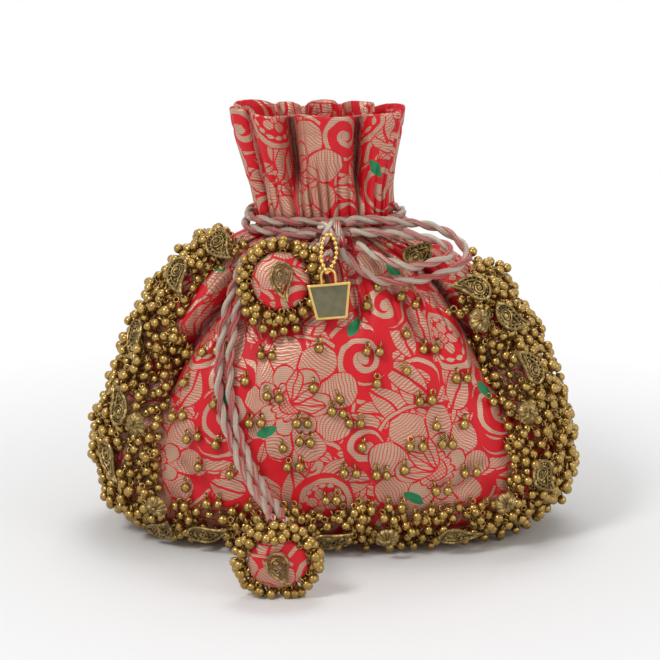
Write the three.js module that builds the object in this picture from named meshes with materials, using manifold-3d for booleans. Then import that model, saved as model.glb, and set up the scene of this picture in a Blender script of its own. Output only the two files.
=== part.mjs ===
// A gathered brocade potli bag with a bell-covered gusset, a drawcord, two tassels and a charm.
// Millimetres. +X is the right side of the front view, +Y the back and +Z up; z = 0 is the table.
import * as THREE from 'three';
import { mergeVertices } from 'three/addons/utils/BufferGeometryUtils.js';
import Module from 'manifold-3d';

// Overall sizes of the cloth body
const BELLY_WIDTH = 208;
const BELLY_DEPTH = 107;
const BELLY_LEVEL = 43;
const BASE_WIDTH = 166;
const BASE_DEPTH = 76;
const NECK_WIDTH = 62;
const NECK_DEPTH = 36;
const NECK_LEVEL = 146.5;
const NECK_HEIGHT = 7;
const RIM_WIDTH = 76;
const RIM_DEPTH = 46;
const RIM_LEVEL = 198;
const NECK_LEAN = -4;
const RIM_LEAN = -7;

// Cloth, lining and seams
const CLOTH_WALL = 2.4;
const LINING_WALL = 1;
const LINING_GAP = 0.5;
const HEM_HEIGHT = 12;
const PLEATS = 14;
const PLEAT_DEPTH = 1.6;
const SEAM_GAP = 0.3;
const SEAM_INSET_BELLY = 19;
const SEAM_INSET_NECK = 5;
const SEAM_BOTTOM = 19;
const SEAM_CORNER = 25;
const GUSSET_LEAST = 14;
const CLEARANCE = 0.3;

// Bell trim
const TRIM_THICKNESS = 6;
const TRIM_TOP_LEFT = NECK_LEVEL - 13;
const TRIM_TOP_RIGHT = NECK_LEVEL - 27.5;
const TRIM_BASE_TOP = 26;

// Openwork paisley plates and ribbed shell studs sewn among the bells
const PAISLEY_LENGTH = 19;
const PAISLEY_WIDTH = 12.5;
const PLATE_THICKNESS = 1.2;
const PLATE_LIFT = 3;
const STUD_DIAMETER = 10.5;
const STUD_HEIGHT = 3.4;

// Drawcord and its knot
const CORD_DIAMETER = 4.3;
const NECK_CORD_PITCH = 4.7;
const NECK_CORD_CLEARANCE = 0.6;
const KNOT_RADIUS = 4;
const KNOT_STRAND = 1.6;
const KNOT_DEPTH_SCALE = 1.55;

// Tassels: a stuffed disc of cloth with bells hung round its edge
const PAD_DIAMETER = 26;
const PAD_THICKNESS = 9;
const PAD_FLAT = 17;
const BELL_RING_WIDTH = 4.2;
const BELL_RING_THICKNESS = 6;
const TASSEL_MOTIF_SCALE = 0.72;
const LONG_TASSEL_TILT = 15;
const LONG_TASSEL_ACROSS = -24.2;
const LONG_TASSEL_FORWARD = -98;
const SHORT_TASSEL_EDGE = -6;
const SHORT_TASSEL_TOP = 139;
const SHORT_TASSEL_LIFT = 5;
const SHORT_TASSEL_LEAN = 12;
const SHORT_TASSEL_TURN = 7.5;

// Charm and ball chain
const CHARM_TOP_WIDTH = 19.4;
const CHARM_BOTTOM_WIDTH = 14;
const CHARM_HEIGHT = 16.4;
const CHARM_THICKNESS = 2.6;
const CHARM_CORNER = 1.2;
const CHARM_EDGE = 0.4;
const CHARM_TURN = -5;
const SHACKLE_WIDTH = 6.2;
const SHACKLE_HEIGHT = 7.2;
const SHACKLE_WIRE = 1.2;
const CHAIN_BALL = 2.2;
const CHAIN_WIRE = 0.8;
const CHAIN_BALLS = 12;

// Facets
const SEGMENTS_PER_PLEAT = 4;
const BODY_SEGMENTS = PLEATS * SEGMENTS_PER_PLEAT;
const LINING_SEGMENTS = 30;
const BODY_STATIONS = 18;
const CORD_SIDES = 8;
const CORD_STEP = 9;
const RING_SEGMENTS = 28;
const ROUND_SEGMENTS = 20;
const BIG = 400;

const wasm = await Module();
wasm.setup();

// A closed geometry as a solid that can be cut and joined
function toSolid(geometry) {
  const bare = geometry.clone();
  bare.deleteAttribute('normal');
  bare.deleteAttribute('uv');
  const merged = mergeVertices(bare, 1e-4);
  const vertProperties = new Float32Array(merged.attributes.position.array);
  const triVerts = new Uint32Array(merged.index.array);
  return new wasm.Manifold(new wasm.Mesh({ numProp: 3, vertProperties, triVerts }));
}

function toGeometry(solid) {
  const mesh = solid.getMesh();
  const geometry = new THREE.BufferGeometry();
  geometry.setAttribute('position', new THREE.BufferAttribute(mesh.vertProperties, 3));
  geometry.setIndex(new THREE.BufferAttribute(mesh.triVerts, 1));
  geometry.computeVertexNormals();
  return geometry;
}

// The cloth body is lofted through oval sections, from the base up to the rim
const BASE_LEVEL = TRIM_THICKNESS;
const OVAL_EXPONENT = 2.35;

// A section on the shoulder, a share of the way up and of the way out from the neck to the belly
function shoulderSection(rise, widthShare, depthShare, leanShare) {
  return {
    level: BELLY_LEVEL + (NECK_LEVEL - BELLY_LEVEL) * rise,
    width: (NECK_WIDTH + (BELLY_WIDTH - NECK_WIDTH) * widthShare) / 2,
    depth: (NECK_DEPTH + (BELLY_DEPTH - NECK_DEPTH) * depthShare) / 2,
    lean: NECK_LEAN * leanShare,
  };
}

const SECTIONS = [
  { level: BASE_LEVEL, width: BASE_WIDTH / 2, depth: BASE_DEPTH / 2, lean: 0 },
  {
    level: BASE_LEVEL + (BELLY_LEVEL - BASE_LEVEL) * 0.33,
    width: BASE_WIDTH / 2 + (BELLY_WIDTH - BASE_WIDTH) * 0.37,
    depth: BASE_DEPTH / 2 + (BELLY_DEPTH - BASE_DEPTH) * 0.36,
    lean: 0,
  },
  shoulderSection(0, 1, 1, 0),
  shoulderSection(0.37, 0.84, 0.8, 0),
  shoulderSection(0.7, 0.58, 0.48, 0.3),
  shoulderSection(0.88, 0.25, 0.2, 0.8),
  { level: NECK_LEVEL - NECK_HEIGHT / 2, width: NECK_WIDTH / 2, depth: NECK_DEPTH / 2, lean: NECK_LEAN },
  { level: NECK_LEVEL + NECK_HEIGHT / 2, width: NECK_WIDTH / 2, depth: NECK_DEPTH / 2, lean: NECK_LEAN },
  {
    level: NECK_LEVEL + (RIM_LEVEL - NECK_LEVEL) * 0.35,
    width: (NECK_WIDTH + RIM_WIDTH) / 4,
    depth: (NECK_DEPTH + RIM_DEPTH) / 4,
    lean: (NECK_LEAN + RIM_LEAN) / 2,
  },
  { level: RIM_LEVEL, width: RIM_WIDTH / 2, depth: RIM_DEPTH / 2, lean: RIM_LEAN },
];

const sizeCurve = new THREE.CatmullRomCurve3(
  SECTIONS.map(({ width, depth, level }) => new THREE.Vector3(width, depth, level)),
);
const leanCurve = new THREE.CatmullRomCurve3(
  SECTIONS.map(({ lean, level }) => new THREE.Vector3(lean, 0, level)),
);

// The section at a share t of the way along the loft, with the slope of its side
function sectionAt(t) {
  const size = sizeCurve.getPoint(t);
  const slope = sizeCurve.getTangent(t);
  const run = Math.hypot(slope.x, slope.z);
  return {
    level: size.z,
    width: size.x,
    depth: size.y,
    lean: leanCurve.getPoint(t).x,
    outward: slope.z / run,
    upward: -slope.x / run,
  };
}

// The share t at which the loft reaches a level
function shareAt(level) {
  let low = 0;
  let high = 1;
  for (let i = 0; i < 40; i += 1) {
    const middle = (low + high) / 2;
    if (sizeCurve.getPoint(middle).z < level) {
      low = middle;
    } else {
      high = middle;
    }
  }
  return low;
}

// The pleats start on the shoulder and are full at the neck: out and in, or all out, or all in
const PLEAT_START = BELLY_LEVEL + (NECK_LEVEL - BELLY_LEVEL) * 0.55;
const ALONG_PLEATS = (angle) => Math.cos(PLEATS * angle);
const OUTSIDE_PLEATS = () => 1;
const INSIDE_PLEATS = () => -1;

function pleatDepthAt(level) {
  return PLEAT_DEPTH * THREE.MathUtils.smoothstep(level, PLEAT_START, NECK_LEVEL);
}

// A point of a section pushed out by an offset; angle 0 is the front, a quarter turn is +X
function ovalPoint(section, angle, offset, folds) {
  const push = offset * section.outward + pleatDepthAt(section.level) * folds(angle);
  const side = Math.sin(angle);
  const back = -Math.cos(angle);
  const power = 2 / OVAL_EXPONENT;
  return new THREE.Vector3(
    section.lean + (section.width + push) * Math.sign(side) * Math.abs(side) ** power,
    (section.depth + push) * Math.sign(back) * Math.abs(back) ** power,
    section.level + offset * section.upward,
  );
}

// Seats and cord routes are drawn for these levels, and stretch with the real ones
const DRAWN_BELLY_LEVEL = 43;
const DRAWN_NECK_LEVEL = 146.5;

function stretched(level) {
  if (level < DRAWN_BELLY_LEVEL) {
    return level * (BELLY_LEVEL / DRAWN_BELLY_LEVEL);
  }
  if (level > DRAWN_NECK_LEVEL) {
    return level + NECK_LEVEL - DRAWN_NECK_LEVEL;
  }
  const share = (level - DRAWN_BELLY_LEVEL) / (DRAWN_NECK_LEVEL - DRAWN_BELLY_LEVEL);
  return BELLY_LEVEL + share * (NECK_LEVEL - BELLY_LEVEL);
}

// The closed body of the loft up to a level, offset from the cloth's outer face
const STATION_STEP = 1 / BODY_STATIONS;
const STATION_SHARES = Array.from({ length: BODY_STATIONS }, (_, i) => i * STATION_STEP);

function ovalBody({ offset, top, segments, folds }) {
  const last = shareAt(Math.min(top, RIM_LEVEL));
  const shares = STATION_SHARES.filter((share) => share < last - STATION_STEP / 4);
  const sections = [...shares, last].map(sectionAt);
  const stations = sections.length;
  const profile = [new THREE.Vector2(0, 0)];
  sections.forEach((_, i) => profile.push(new THREE.Vector2(1, i + 1)));
  profile.push(new THREE.Vector2(0, stations + 1));
  const geometry = new THREE.LatheGeometry(profile, segments);
  geometry.rotateX(Math.PI / 2);
  const place = geometry.attributes.position;
  for (let i = 0; i < place.count; i += 1) {
    const ring = Math.round(place.getZ(i));
    const angle = Math.atan2(place.getX(i), -place.getY(i));
    const section = sections[THREE.MathUtils.clamp(ring - 1, 0, stations - 1)];
    const point = ovalPoint(section, angle, offset, folds);
    if (ring === 0 || ring === stations + 1) {
      point.set(section.lean, 0, 0);
    }
    if (ring <= 1) {
      point.z = BASE_LEVEL - offset;
    }
    if (ring >= stations) {
      point.z = top;
    }
    place.setXYZ(i, point.x, point.y, point.z);
  }
  return toSolid(geometry);
}

// A box between two corners
function boxBody(low, high) {
  const size = new THREE.Vector3().subVectors(high, low);
  const centre = new THREE.Vector3().addVectors(high, low).multiplyScalar(0.5);
  return toSolid(new THREE.BoxGeometry(size.x, size.y, size.z).translate(centre.x, centre.y, centre.z));
}

// The seam line of a panel in the front view, as a prism towards the front or the back
const SEAM_SHARES = [0.24, 0.34, 0.44, 0.54, 0.64, 0.74, 0.84, 0.92, 1];

function seamHalfWidth(section) {
  const climb = THREE.MathUtils.smoothstep(section.level, BELLY_LEVEL, NECK_LEVEL);
  return section.width - THREE.MathUtils.lerp(SEAM_INSET_BELLY, SEAM_INSET_NECK, climb);
}

function panelPrism(towardsFront, grow) {
  const sides = SEAM_SHARES.map((share) => {
    const section = sectionAt(share);
    const level = share === 1 ? RIM_LEVEL + CLOTH_WALL : section.level;
    return { level, lean: section.lean, half: seamHalfWidth(section) + grow };
  });
  const low = SEAM_BOTTOM - grow;
  const corner = sides[0].half;
  const outline = new THREE.Shape();
  outline.moveTo(-corner + SEAM_CORNER, low);
  outline.lineTo(corner - SEAM_CORNER, low);
  outline.quadraticCurveTo(corner, low, sides[0].lean + corner, sides[0].level);
  sides.slice(1).forEach(({ level, lean, half }) => outline.lineTo(lean + half, level));
  sides.toReversed().forEach(({ level, lean, half }) => outline.lineTo(lean - half, level));
  outline.quadraticCurveTo(-corner, low, -corner + SEAM_CORNER, low);
  const geometry = new THREE.ExtrudeGeometry(outline, { depth: BIG, bevelEnabled: false, curveSegments: 5 });
  const near = GUSSET_LEAST / 2 - grow;
  geometry.rotateX(Math.PI / 2);
  return toSolid(geometry.translate(0, towardsFront ? -near : near + BIG, 0));
}

// Cloth body: front and back panels with a gusset between them, all one wall thick
const body = { segments: BODY_SEGMENTS, folds: ALONG_PLEATS };
const clothShell = ovalBody({ ...body, offset: 0, top: RIM_LEVEL })
  .subtract(ovalBody({ ...body, offset: -CLOTH_WALL, top: RIM_LEVEL + CLOTH_WALL }));
const frontPanel = clothShell.intersect(panelPrism(true, 0));
const backPanel = clothShell.intersect(panelPrism(false, 0));
const gusset = clothShell.subtract(panelPrism(true, SEAM_GAP)).subtract(panelPrism(false, SEAM_GAP));

// Lining: a loose bag inside the cloth, up to the hem that is turned in at the rim
const liningBody = { segments: LINING_SEGMENTS, folds: INSIDE_PLEATS };
const liningOffset = -CLOTH_WALL - LINING_GAP;
const liningTop = RIM_LEVEL - HEM_HEIGHT;
const lining = ovalBody({ ...liningBody, offset: liningOffset, top: liningTop })
  .subtract(ovalBody({ ...liningBody, offset: liningOffset - LINING_WALL, top: liningTop + LINING_WALL }));

// Bell trim: the thickness that the sewn-on bells take up over the gusset, in three runs
const trimBody = { segments: BODY_SEGMENTS, folds: OUTSIDE_PLEATS };
const trimShell = ovalBody({ ...trimBody, offset: TRIM_THICKNESS, top: TRIM_TOP_LEFT })
  .subtract(ovalBody({ ...trimBody, offset: CLEARANCE, top: TRIM_TOP_LEFT + CLOTH_WALL }))
  .subtract(panelPrism(true, 0))
  .subtract(panelPrism(false, 0));

function trimRun(low, high) {
  return trimShell.intersect(boxBody(low, high));
}

const trimBase = trimRun(new THREE.Vector3(-BIG, -BIG, -BIG), new THREE.Vector3(BIG, BIG, TRIM_BASE_TOP));
const sideLow = TRIM_BASE_TOP + SEAM_GAP;
const trimLeft = trimRun(new THREE.Vector3(-BIG, -BIG, sideLow), new THREE.Vector3(0, BIG, BIG));
const trimRight = trimRun(new THREE.Vector3(0, -BIG, sideLow), new THREE.Vector3(BIG, BIG, TRIM_TOP_RIGHT));

// The place on the loft's front, at a distance x from the middle, where something is sewn on
function frontSeat(x, drawnLevel, offset) {
  const level = stretched(drawnLevel);
  const section = sectionAt(shareAt(level));
  const reach = section.width + offset * section.outward + pleatDepthAt(section.level);
  const power = OVAL_EXPONENT / 2;
  const share = Math.min(Math.abs(x - section.lean) / reach, 1);
  const angle = Math.sign(x - section.lean) * Math.asin(share ** power);
  const step = 0.01;
  const at = (turn, rise) => (
    ovalPoint(sectionAt(shareAt(level + rise)), angle + turn, offset, OUTSIDE_PLEATS)
  );
  const across = at(step, 0).sub(at(-step, 0)).normalize();
  const upwards = at(0, 1).sub(at(0, -1)).normalize();
  const outwards = new THREE.Vector3().crossVectors(across, upwards).normalize();
  const sideways = new THREE.Vector3().crossVectors(upwards, outwards);
  const basis = new THREE.Matrix4().makeBasis(sideways, upwards, outwards);
  return { point: at(0, 0), outwards, quaternion: new THREE.Quaternion().setFromRotationMatrix(basis) };
}

// Openwork paisley plate: a leaf with a curled tip and one opening
function paisleyGeometry(length, width) {
  const leaf = new THREE.Shape();
  leaf.moveTo(width * 0.12, -length * 0.5);
  leaf.bezierCurveTo(width * 0.5, -length * 0.2, width * 0.6, length * 0.2, width * 0.25, length * 0.42);
  leaf.bezierCurveTo(0, length * 0.56, -width * 0.6, length * 0.42, -width * 0.48, length * 0.02);
  leaf.bezierCurveTo(-width * 0.38, -length * 0.2, -width * 0.1, -length * 0.26, width * 0.12, -length * 0.5);
  const opening = new THREE.Path();
  opening.absellipse(0, length * 0.12, width * 0.22, length * 0.18, 0, Math.PI * 2, true);
  leaf.holes.push(opening);
  return new THREE.ExtrudeGeometry(leaf, { depth: PLATE_THICKNESS, bevelEnabled: false, curveSegments: 5 });
}

// Ribbed shell stud, a low dome
function studGeometry() {
  const radius = STUD_DIAMETER / 2;
  const profile = [
    new THREE.Vector2(0, 0),
    new THREE.Vector2(radius, 0),
    new THREE.Vector2(radius * 0.96, STUD_HEIGHT * 0.35),
    new THREE.Vector2(radius * 0.6, STUD_HEIGHT * 0.85),
    new THREE.Vector2(0, STUD_HEIGHT),
  ];
  return new THREE.LatheGeometry(profile, ROUND_SEGMENTS / 2).rotateX(Math.PI / 2);
}

// Where the front shows the plates and studs: distance from the middle, cloth level, turn in degrees
const PAISLEY_SEATS = [
  [-53, 131, 60], [-71.5, 118, 35], [-91.5, 91, 15], [-97.5, 64, 200], [-103.5, 40, 10],
  [-78, 15, 100], [-57, 16, 75], [-1, 15, 95], [56, 15, 80], [95, 35, 20],
  [89, 82, 190], [80, 101, 30], [62, 116, 215], [41, 131, 75],
];
const STUD_SEATS = [[-89, 58], [-80, 26], [24, 17], [77, 28], [87, 63], [65, 103]];

// Drawcord: two turns round the neck, a knot in front, two handle loops and the tassel cords
const cordRadius = CORD_DIAMETER / 2;

// One turn of cord round the outside of the pleats at a level
function neckTurn(level) {
  const section = { ...sectionAt(shareAt(level - cordRadius)), outward: 1, upward: 0 };
  const profile = [];
  for (let i = 0; i <= CORD_SIDES; i += 1) {
    const turn = (i / CORD_SIDES) * Math.PI * 2;
    profile.push(new THREE.Vector2(BIG + cordRadius * Math.cos(turn), cordRadius * Math.sin(turn)));
  }
  const geometry = new THREE.LatheGeometry(profile, RING_SEGMENTS).rotateX(Math.PI / 2);
  const place = geometry.attributes.position;
  for (let i = 0; i < place.count; i += 1) {
    const angle = Math.atan2(place.getX(i), -place.getY(i));
    const beyond = Math.hypot(place.getX(i), place.getY(i)) - BIG;
    const point = ovalPoint(section, angle, NECK_CORD_CLEARANCE + cordRadius + beyond, OUTSIDE_PLEATS);
    place.setXYZ(i, point.x, point.y, level + place.getZ(i));
  }
  return toGeometry(toSolid(geometry));
}

// A cord along its route, with flat ends; where it hangs forward it rises with the long tassel's top
const ringRadius = PAD_DIAMETER / 2 + CLEARANCE + BELL_RING_WIDTH;
const DRAWN_RING_RADIUS = 17.5;
const HANG_START = -55;
const HANG_END = -100;

function routePoint([x, y, z]) {
  const hang = THREE.MathUtils.clamp((y - HANG_START) / (HANG_END - HANG_START), 0, 1);
  return new THREE.Vector3(x, y, stretched(z) + 2 * hang * (ringRadius - DRAWN_RING_RADIUS));
}

function cordGeometry(route) {
  const path = new THREE.CatmullRomCurve3(route.map(routePoint));
  const section = new THREE.Shape();
  for (let i = 0; i < CORD_SIDES; i += 1) {
    const turn = (i / CORD_SIDES) * Math.PI * 2;
    const [x, y] = [cordRadius * Math.cos(turn), cordRadius * Math.sin(turn)];
    if (i === 0) {
      section.moveTo(x, y);
    } else {
      section.lineTo(x, y);
    }
  }
  const steps = Math.max(1, Math.round(path.getLength() / CORD_STEP));
  return new THREE.ExtrudeGeometry(section, { steps, bevelEnabled: false, extrudePath: path });
}

const OUTER_LOOP = [
  [5, -28, 149.6], [10.6, -27, 151.2], [19.5, -25, 150.4], [30.3, -21.6, 148.8], [42.1, -17.4, 146.4],
  [51.2, -16.6, 142.7], [57.4, -19.4, 138], [59.4, -24.5, 133.7], [54.7, -30, 130], [44.7, -35, 127.3],
  [32.7, -38, 125.5], [20.7, -37.6, 125.9], [12.6, -35.4, 129.6], [7, -33, 134], [3.2, -31, 138.6],
];
const INNER_LOOP = [
  [7.2, -31.2, 146.2], [12.4, -30.4, 146], [20.3, -28.6, 145.2], [30.2, -25.4, 144], [40.2, -23, 142],
  [47.6, -23.4, 139.8], [51.6, -26, 137.4], [50.6, -29.6, 135], [44, -33, 133], [34, -36, 131.8],
  [23.8, -36.4, 134.4], [15.8, -35, 138], [9.8, -33, 141],
];
const LONG_CORD_LEFT = [
  [-8, -29, 144.6], [-16.5, -28.4, 144], [-25.5, -27.6, 142.2], [-34.4, -27.2, 137.6], [-40.9, -29.6, 130.8],
  [-45.2, -33, 121], [-48, -36, 112], [-49.9, -39.5, 101.5], [-51.1, -42.7, 90.6], [-51.1, -46.3, 77.7],
  [-48.9, -50.2, 65], [-45.6, -55.2, 57.5], [-42.6, -61.5, 51], [-38.6, -70, 45.4], [-33.6, -82, 41],
  [-29.2, -93, 39], [-26.6, -104.8, 37.6],
];
const LONG_CORD_RIGHT = [
  [-7.4, -29.6, 140], [-15.5, -29.6, 139.4], [-22.4, -29.6, 138], [-30.4, -29.4, 134], [-36.2, -31.2, 127.4],
  [-40.4, -34.2, 119.5], [-43.2, -37, 111.5], [-45.1, -40.5, 101.5], [-46.3, -43.5, 90.8], [-46.3, -47, 78],
  [-44.1, -50.8, 65], [-40.8, -55.6, 57.5], [-37.8, -61.8, 51], [-33.8, -70, 45.4], [-28.8, -82, 41],
  [-24.4, -93, 39], [-21.8, -104.8, 37.6],
];
const SHORT_CORD_LEFT = [[-6.2, -34, 141.4], [-8, -34.8, 140.4], [-10.4, -36.4, 139]];
const SHORT_CORD_RIGHT = [[-1.4, -35, 138], [-4, -37.2, 136.4], [-6.4, -39.4, 134.4]];

// Overhand knot in front of the neck turns, as a trefoil of the cord
function knotGeometry() {
  return new THREE.TorusKnotGeometry(KNOT_RADIUS, KNOT_STRAND, 42, 6, 2, 3)
    .scale(1, 1, KNOT_DEPTH_SCALE)
    .rotateX(Math.PI / 2);
}

const KNOT_PLACE = new THREE.Vector3(-1, -30.4, stretched(145.5));

// A tassel is made flat, facing +Z, and then placed by its group
function padGeometry() {
  const radius = PAD_DIAMETER / 2;
  const flat = PAD_FLAT / 2;
  const profile = [
    new THREE.Vector2(0, 0),
    new THREE.Vector2(radius - 1, 0),
    new THREE.Vector2(radius, PAD_THICKNESS * 0.2),
    new THREE.Vector2(radius, PAD_THICKNESS * 0.66),
    new THREE.Vector2((radius + flat) / 2, PAD_THICKNESS * 0.92),
    new THREE.Vector2(flat, PAD_THICKNESS),
    new THREE.Vector2(0, PAD_THICKNESS),
  ];
  return new THREE.LatheGeometry(profile, ROUND_SEGMENTS).rotateX(Math.PI / 2);
}

function bellRingGeometry() {
  const inner = PAD_DIAMETER / 2 + CLEARANCE;
  const outer = ringRadius;
  const low = PAD_THICKNESS * 0.1;
  const high = low + BELL_RING_THICKNESS;
  const cut = BELL_RING_WIDTH * 0.3;
  const corners = [
    [inner, low], [outer - cut, low], [outer, low + cut], [outer, high - cut],
    [outer - cut, high], [inner + cut, high], [inner, high - cut], [inner, low],
  ];
  const profile = corners.map(([radius, level]) => new THREE.Vector2(radius, level));
  return new THREE.LatheGeometry(profile, ROUND_SEGMENTS).rotateX(Math.PI / 2);
}

// Charm: a flat bag-shaped plate under a wire shackle; its origin is the ball it hangs from
function charmGeometry() {
  const wireRadius = SHACKLE_WIRE / 2;
  const arch = SHACKLE_WIDTH / 2 - wireRadius;
  const crown = CHAIN_BALL / 2 + wireRadius + CLEARANCE;
  const plateTop = crown + wireRadius - SHACKLE_HEIGHT;
  const [top, bottom] = [CHARM_TOP_WIDTH / 2, CHARM_BOTTOM_WIDTH / 2];
  const low = plateTop - CHARM_HEIGHT;
  const inset = CHARM_CORNER;
  const outline = new THREE.Shape();
  outline.moveTo(-bottom + inset, low);
  outline.lineTo(bottom - inset, low);
  outline.quadraticCurveTo(bottom, low, bottom + inset * 0.2, low + inset);
  outline.lineTo(top - inset * 0.2, plateTop - inset);
  outline.quadraticCurveTo(top, plateTop, top - inset, plateTop);
  outline.lineTo(-top + inset, plateTop);
  outline.quadraticCurveTo(-top, plateTop, -top + inset * 0.2, plateTop - inset);
  outline.lineTo(-bottom - inset * 0.2, low + inset);
  outline.quadraticCurveTo(-bottom, low, -bottom + inset, low);
  const plate = new THREE.ExtrudeGeometry(outline, {
    depth: CHARM_THICKNESS - 2 * CHARM_EDGE,
    bevelSize: CHARM_EDGE,
    bevelThickness: CHARM_EDGE,
    bevelOffset: -CHARM_EDGE,
    bevelSegments: 1,
    curveSegments: 3,
  }).translate(0, 0, CHARM_EDGE - CHARM_THICKNESS / 2);
  const spring = crown - arch;
  const foot = plateTop - CHARM_EDGE * 3;
  const path = new THREE.CatmullRomCurve3([
    new THREE.Vector3(-arch, foot, 0),
    new THREE.Vector3(-arch, (foot + spring) / 2, 0),
    new THREE.Vector3(-arch, spring, 0),
    new THREE.Vector3(-arch * Math.SQRT1_2, spring + arch * Math.SQRT1_2, 0),
    new THREE.Vector3(0, crown, 0),
    new THREE.Vector3(arch * Math.SQRT1_2, spring + arch * Math.SQRT1_2, 0),
    new THREE.Vector3(arch, spring, 0),
    new THREE.Vector3(arch, (foot + spring) / 2, 0),
    new THREE.Vector3(arch, foot, 0),
  ]);
  const wire = new THREE.Shape();
  wire.absarc(0, 0, wireRadius, 0, Math.PI * 2, false);
  const shackle = new THREE.ExtrudeGeometry(wire, {
    steps: 14, bevelEnabled: false, extrudePath: path, curveSegments: 4,
  });
  return toGeometry(toSolid(plate).add(toSolid(shackle))).rotateX(Math.PI / 2);
}

// Ball chain: one closed loop of small balls on wire, through the shackle and over the knot
const CHAIN_ROUTE = [
  [-2.4, -41.9, 147.2], [-4.9, -43.4, 144.4], [-5.6, -45.8, 140.6], [-5.6, -48.8, 137], [-4.2, -50.9, 133.6],
  [-2.8, -48.6, 131.2], [-1.2, -46.4, 133.4], [0.6, -45, 136.8], [0.9, -43.6, 140.6], [0.1, -42.4, 144.4],
];
const CHARM_PLACE = new THREE.Vector3(-2.8, -48.6, 131.2 + NECK_LEVEL - DRAWN_NECK_LEVEL);

function chainGeometry() {
  const points = CHAIN_ROUTE.map(([x, y, z]) => new THREE.Vector3(x, y, z + NECK_LEVEL - DRAWN_NECK_LEVEL));
  const lowest = points.reduce((found, point) => (point.z < found.z ? point : found));
  const ordered = [...points.slice(points.indexOf(lowest)), ...points.slice(0, points.indexOf(lowest))];
  const loop = new THREE.CatmullRomCurve3(ordered, true);
  const spots = loop.getSpacedPoints(CHAIN_BALLS);
  let chain = null;
  for (let i = 0; i < CHAIN_BALLS; i += 1) {
    const [from, to] = [spots[i], spots[(i + 1) % CHAIN_BALLS]];
    const ball = new THREE.SphereGeometry(CHAIN_BALL / 2, 6, 4).translate(from.x, from.y, from.z);
    const link = new THREE.CylinderGeometry(CHAIN_WIRE / 2, CHAIN_WIRE / 2, from.distanceTo(to), 5);
    const along = new THREE.Vector3().subVectors(to, from).normalize();
    link.applyQuaternion(new THREE.Quaternion().setFromUnitVectors(new THREE.Vector3(0, 1, 0), along));
    link.translate((from.x + to.x) / 2, (from.y + to.y) / 2, (from.z + to.z) / 2);
    const piece = toSolid(ball).add(toSolid(link));
    chain = chain ? chain.add(piece) : piece;
  }
  return toGeometry(chain);
}

// Colours and finishes
const brocade = new THREE.MeshStandardMaterial({ color: 0xc0323a, roughness: 0.6, metalness: 0.1 });
const satin = new THREE.MeshStandardMaterial({ color: 0x8c1d28, roughness: 0.5, metalness: 0 });
const zariCord = new THREE.MeshStandardMaterial({ color: 0xc8b8a0, roughness: 0.5, metalness: 0.3 });
const brass = new THREE.MeshStandardMaterial({ color: 0xb88a35, roughness: 0.35, metalness: 0.9 });
const darkBrass = new THREE.MeshStandardMaterial({ color: 0x7d6a3c, roughness: 0.5, metalness: 0.8 });
const polishedBrass = new THREE.MeshStandardMaterial({ color: 0xd2b46a, roughness: 0.15, metalness: 1 });

const bag = new THREE.Group();

// Moves a placed piece along a direction until it lies a clearance away from the solids it rests on
const SETTLE_REACH = 12;
const SETTLE_ROUNDS = 5;

function settle(piece, direction, supports) {
  for (let i = 0; i < SETTLE_ROUNDS; i += 1) {
    piece.updateWorldMatrix(true, true);
    let gap = SETTLE_REACH;
    piece.traverse((mesh) => {
      if (mesh.isMesh) {
        const solid = toSolid(mesh.geometry.clone().applyMatrix4(mesh.matrixWorld));
        supports.forEach((support) => {
          gap = Math.min(gap, solid.minGap(support, SETTLE_REACH));
        });
      }
    });
    piece.position.addScaledVector(direction, gap - CLEARANCE);
  }
}

function addPiece(name, geometry, material, parent = bag) {
  const mesh = new THREE.Mesh(geometry, material.clone());
  mesh.name = name;
  parent.add(mesh);
  return mesh;
}

addPiece('front_panel', toGeometry(frontPanel), brocade);
addPiece('back_panel', toGeometry(backPanel), brocade);
addPiece('gusset', toGeometry(gusset), brocade);
addPiece('lining', toGeometry(lining), satin);
addPiece('bell_trim_base', toGeometry(trimBase), brass);
addPiece('bell_trim_left', toGeometry(trimLeft), brass);
addPiece('bell_trim_right', toGeometry(trimRight), brass);

const grounds = [frontPanel, gusset, trimBase, trimLeft, trimRight];

function sewOn(name, geometry, material, [x, level, turn = 0]) {
  const mesh = addPiece(name, geometry, material);
  const seat = frontSeat(x, level, TRIM_THICKNESS + PLATE_LIFT);
  mesh.position.copy(seat.point);
  mesh.quaternion.copy(seat.quaternion);
  mesh.rotateZ(THREE.MathUtils.degToRad(turn));
  settle(mesh, seat.outwards.clone().negate(), grounds);
}

PAISLEY_SEATS.forEach((seat, i) => {
  const number = String(i + 1).padStart(2, '0');
  sewOn(`paisley_plate_${number}`, paisleyGeometry(PAISLEY_LENGTH, PAISLEY_WIDTH), darkBrass, seat);
});
STUD_SEATS.forEach((seat, i) => {
  sewOn(`shell_stud_${i + 1}`, studGeometry(), darkBrass, seat);
});

addPiece('neck_cord_lower', neckTurn(NECK_LEVEL - NECK_CORD_PITCH / 2), zariCord);
addPiece('neck_cord_upper', neckTurn(NECK_LEVEL + NECK_CORD_PITCH / 2), zariCord);
addPiece('knot', knotGeometry(), zariCord).position.copy(KNOT_PLACE);
addPiece('handle_loop_outer', cordGeometry(OUTER_LOOP), zariCord);
addPiece('handle_loop_inner', cordGeometry(INNER_LOOP), zariCord);
addPiece('long_tassel_cord_left', cordGeometry(LONG_CORD_LEFT), zariCord);
addPiece('long_tassel_cord_right', cordGeometry(LONG_CORD_RIGHT), zariCord);
addPiece('short_tassel_cord_left', cordGeometry(SHORT_CORD_LEFT), zariCord);
addPiece('short_tassel_cord_right', cordGeometry(SHORT_CORD_RIGHT), zariCord);

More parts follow.
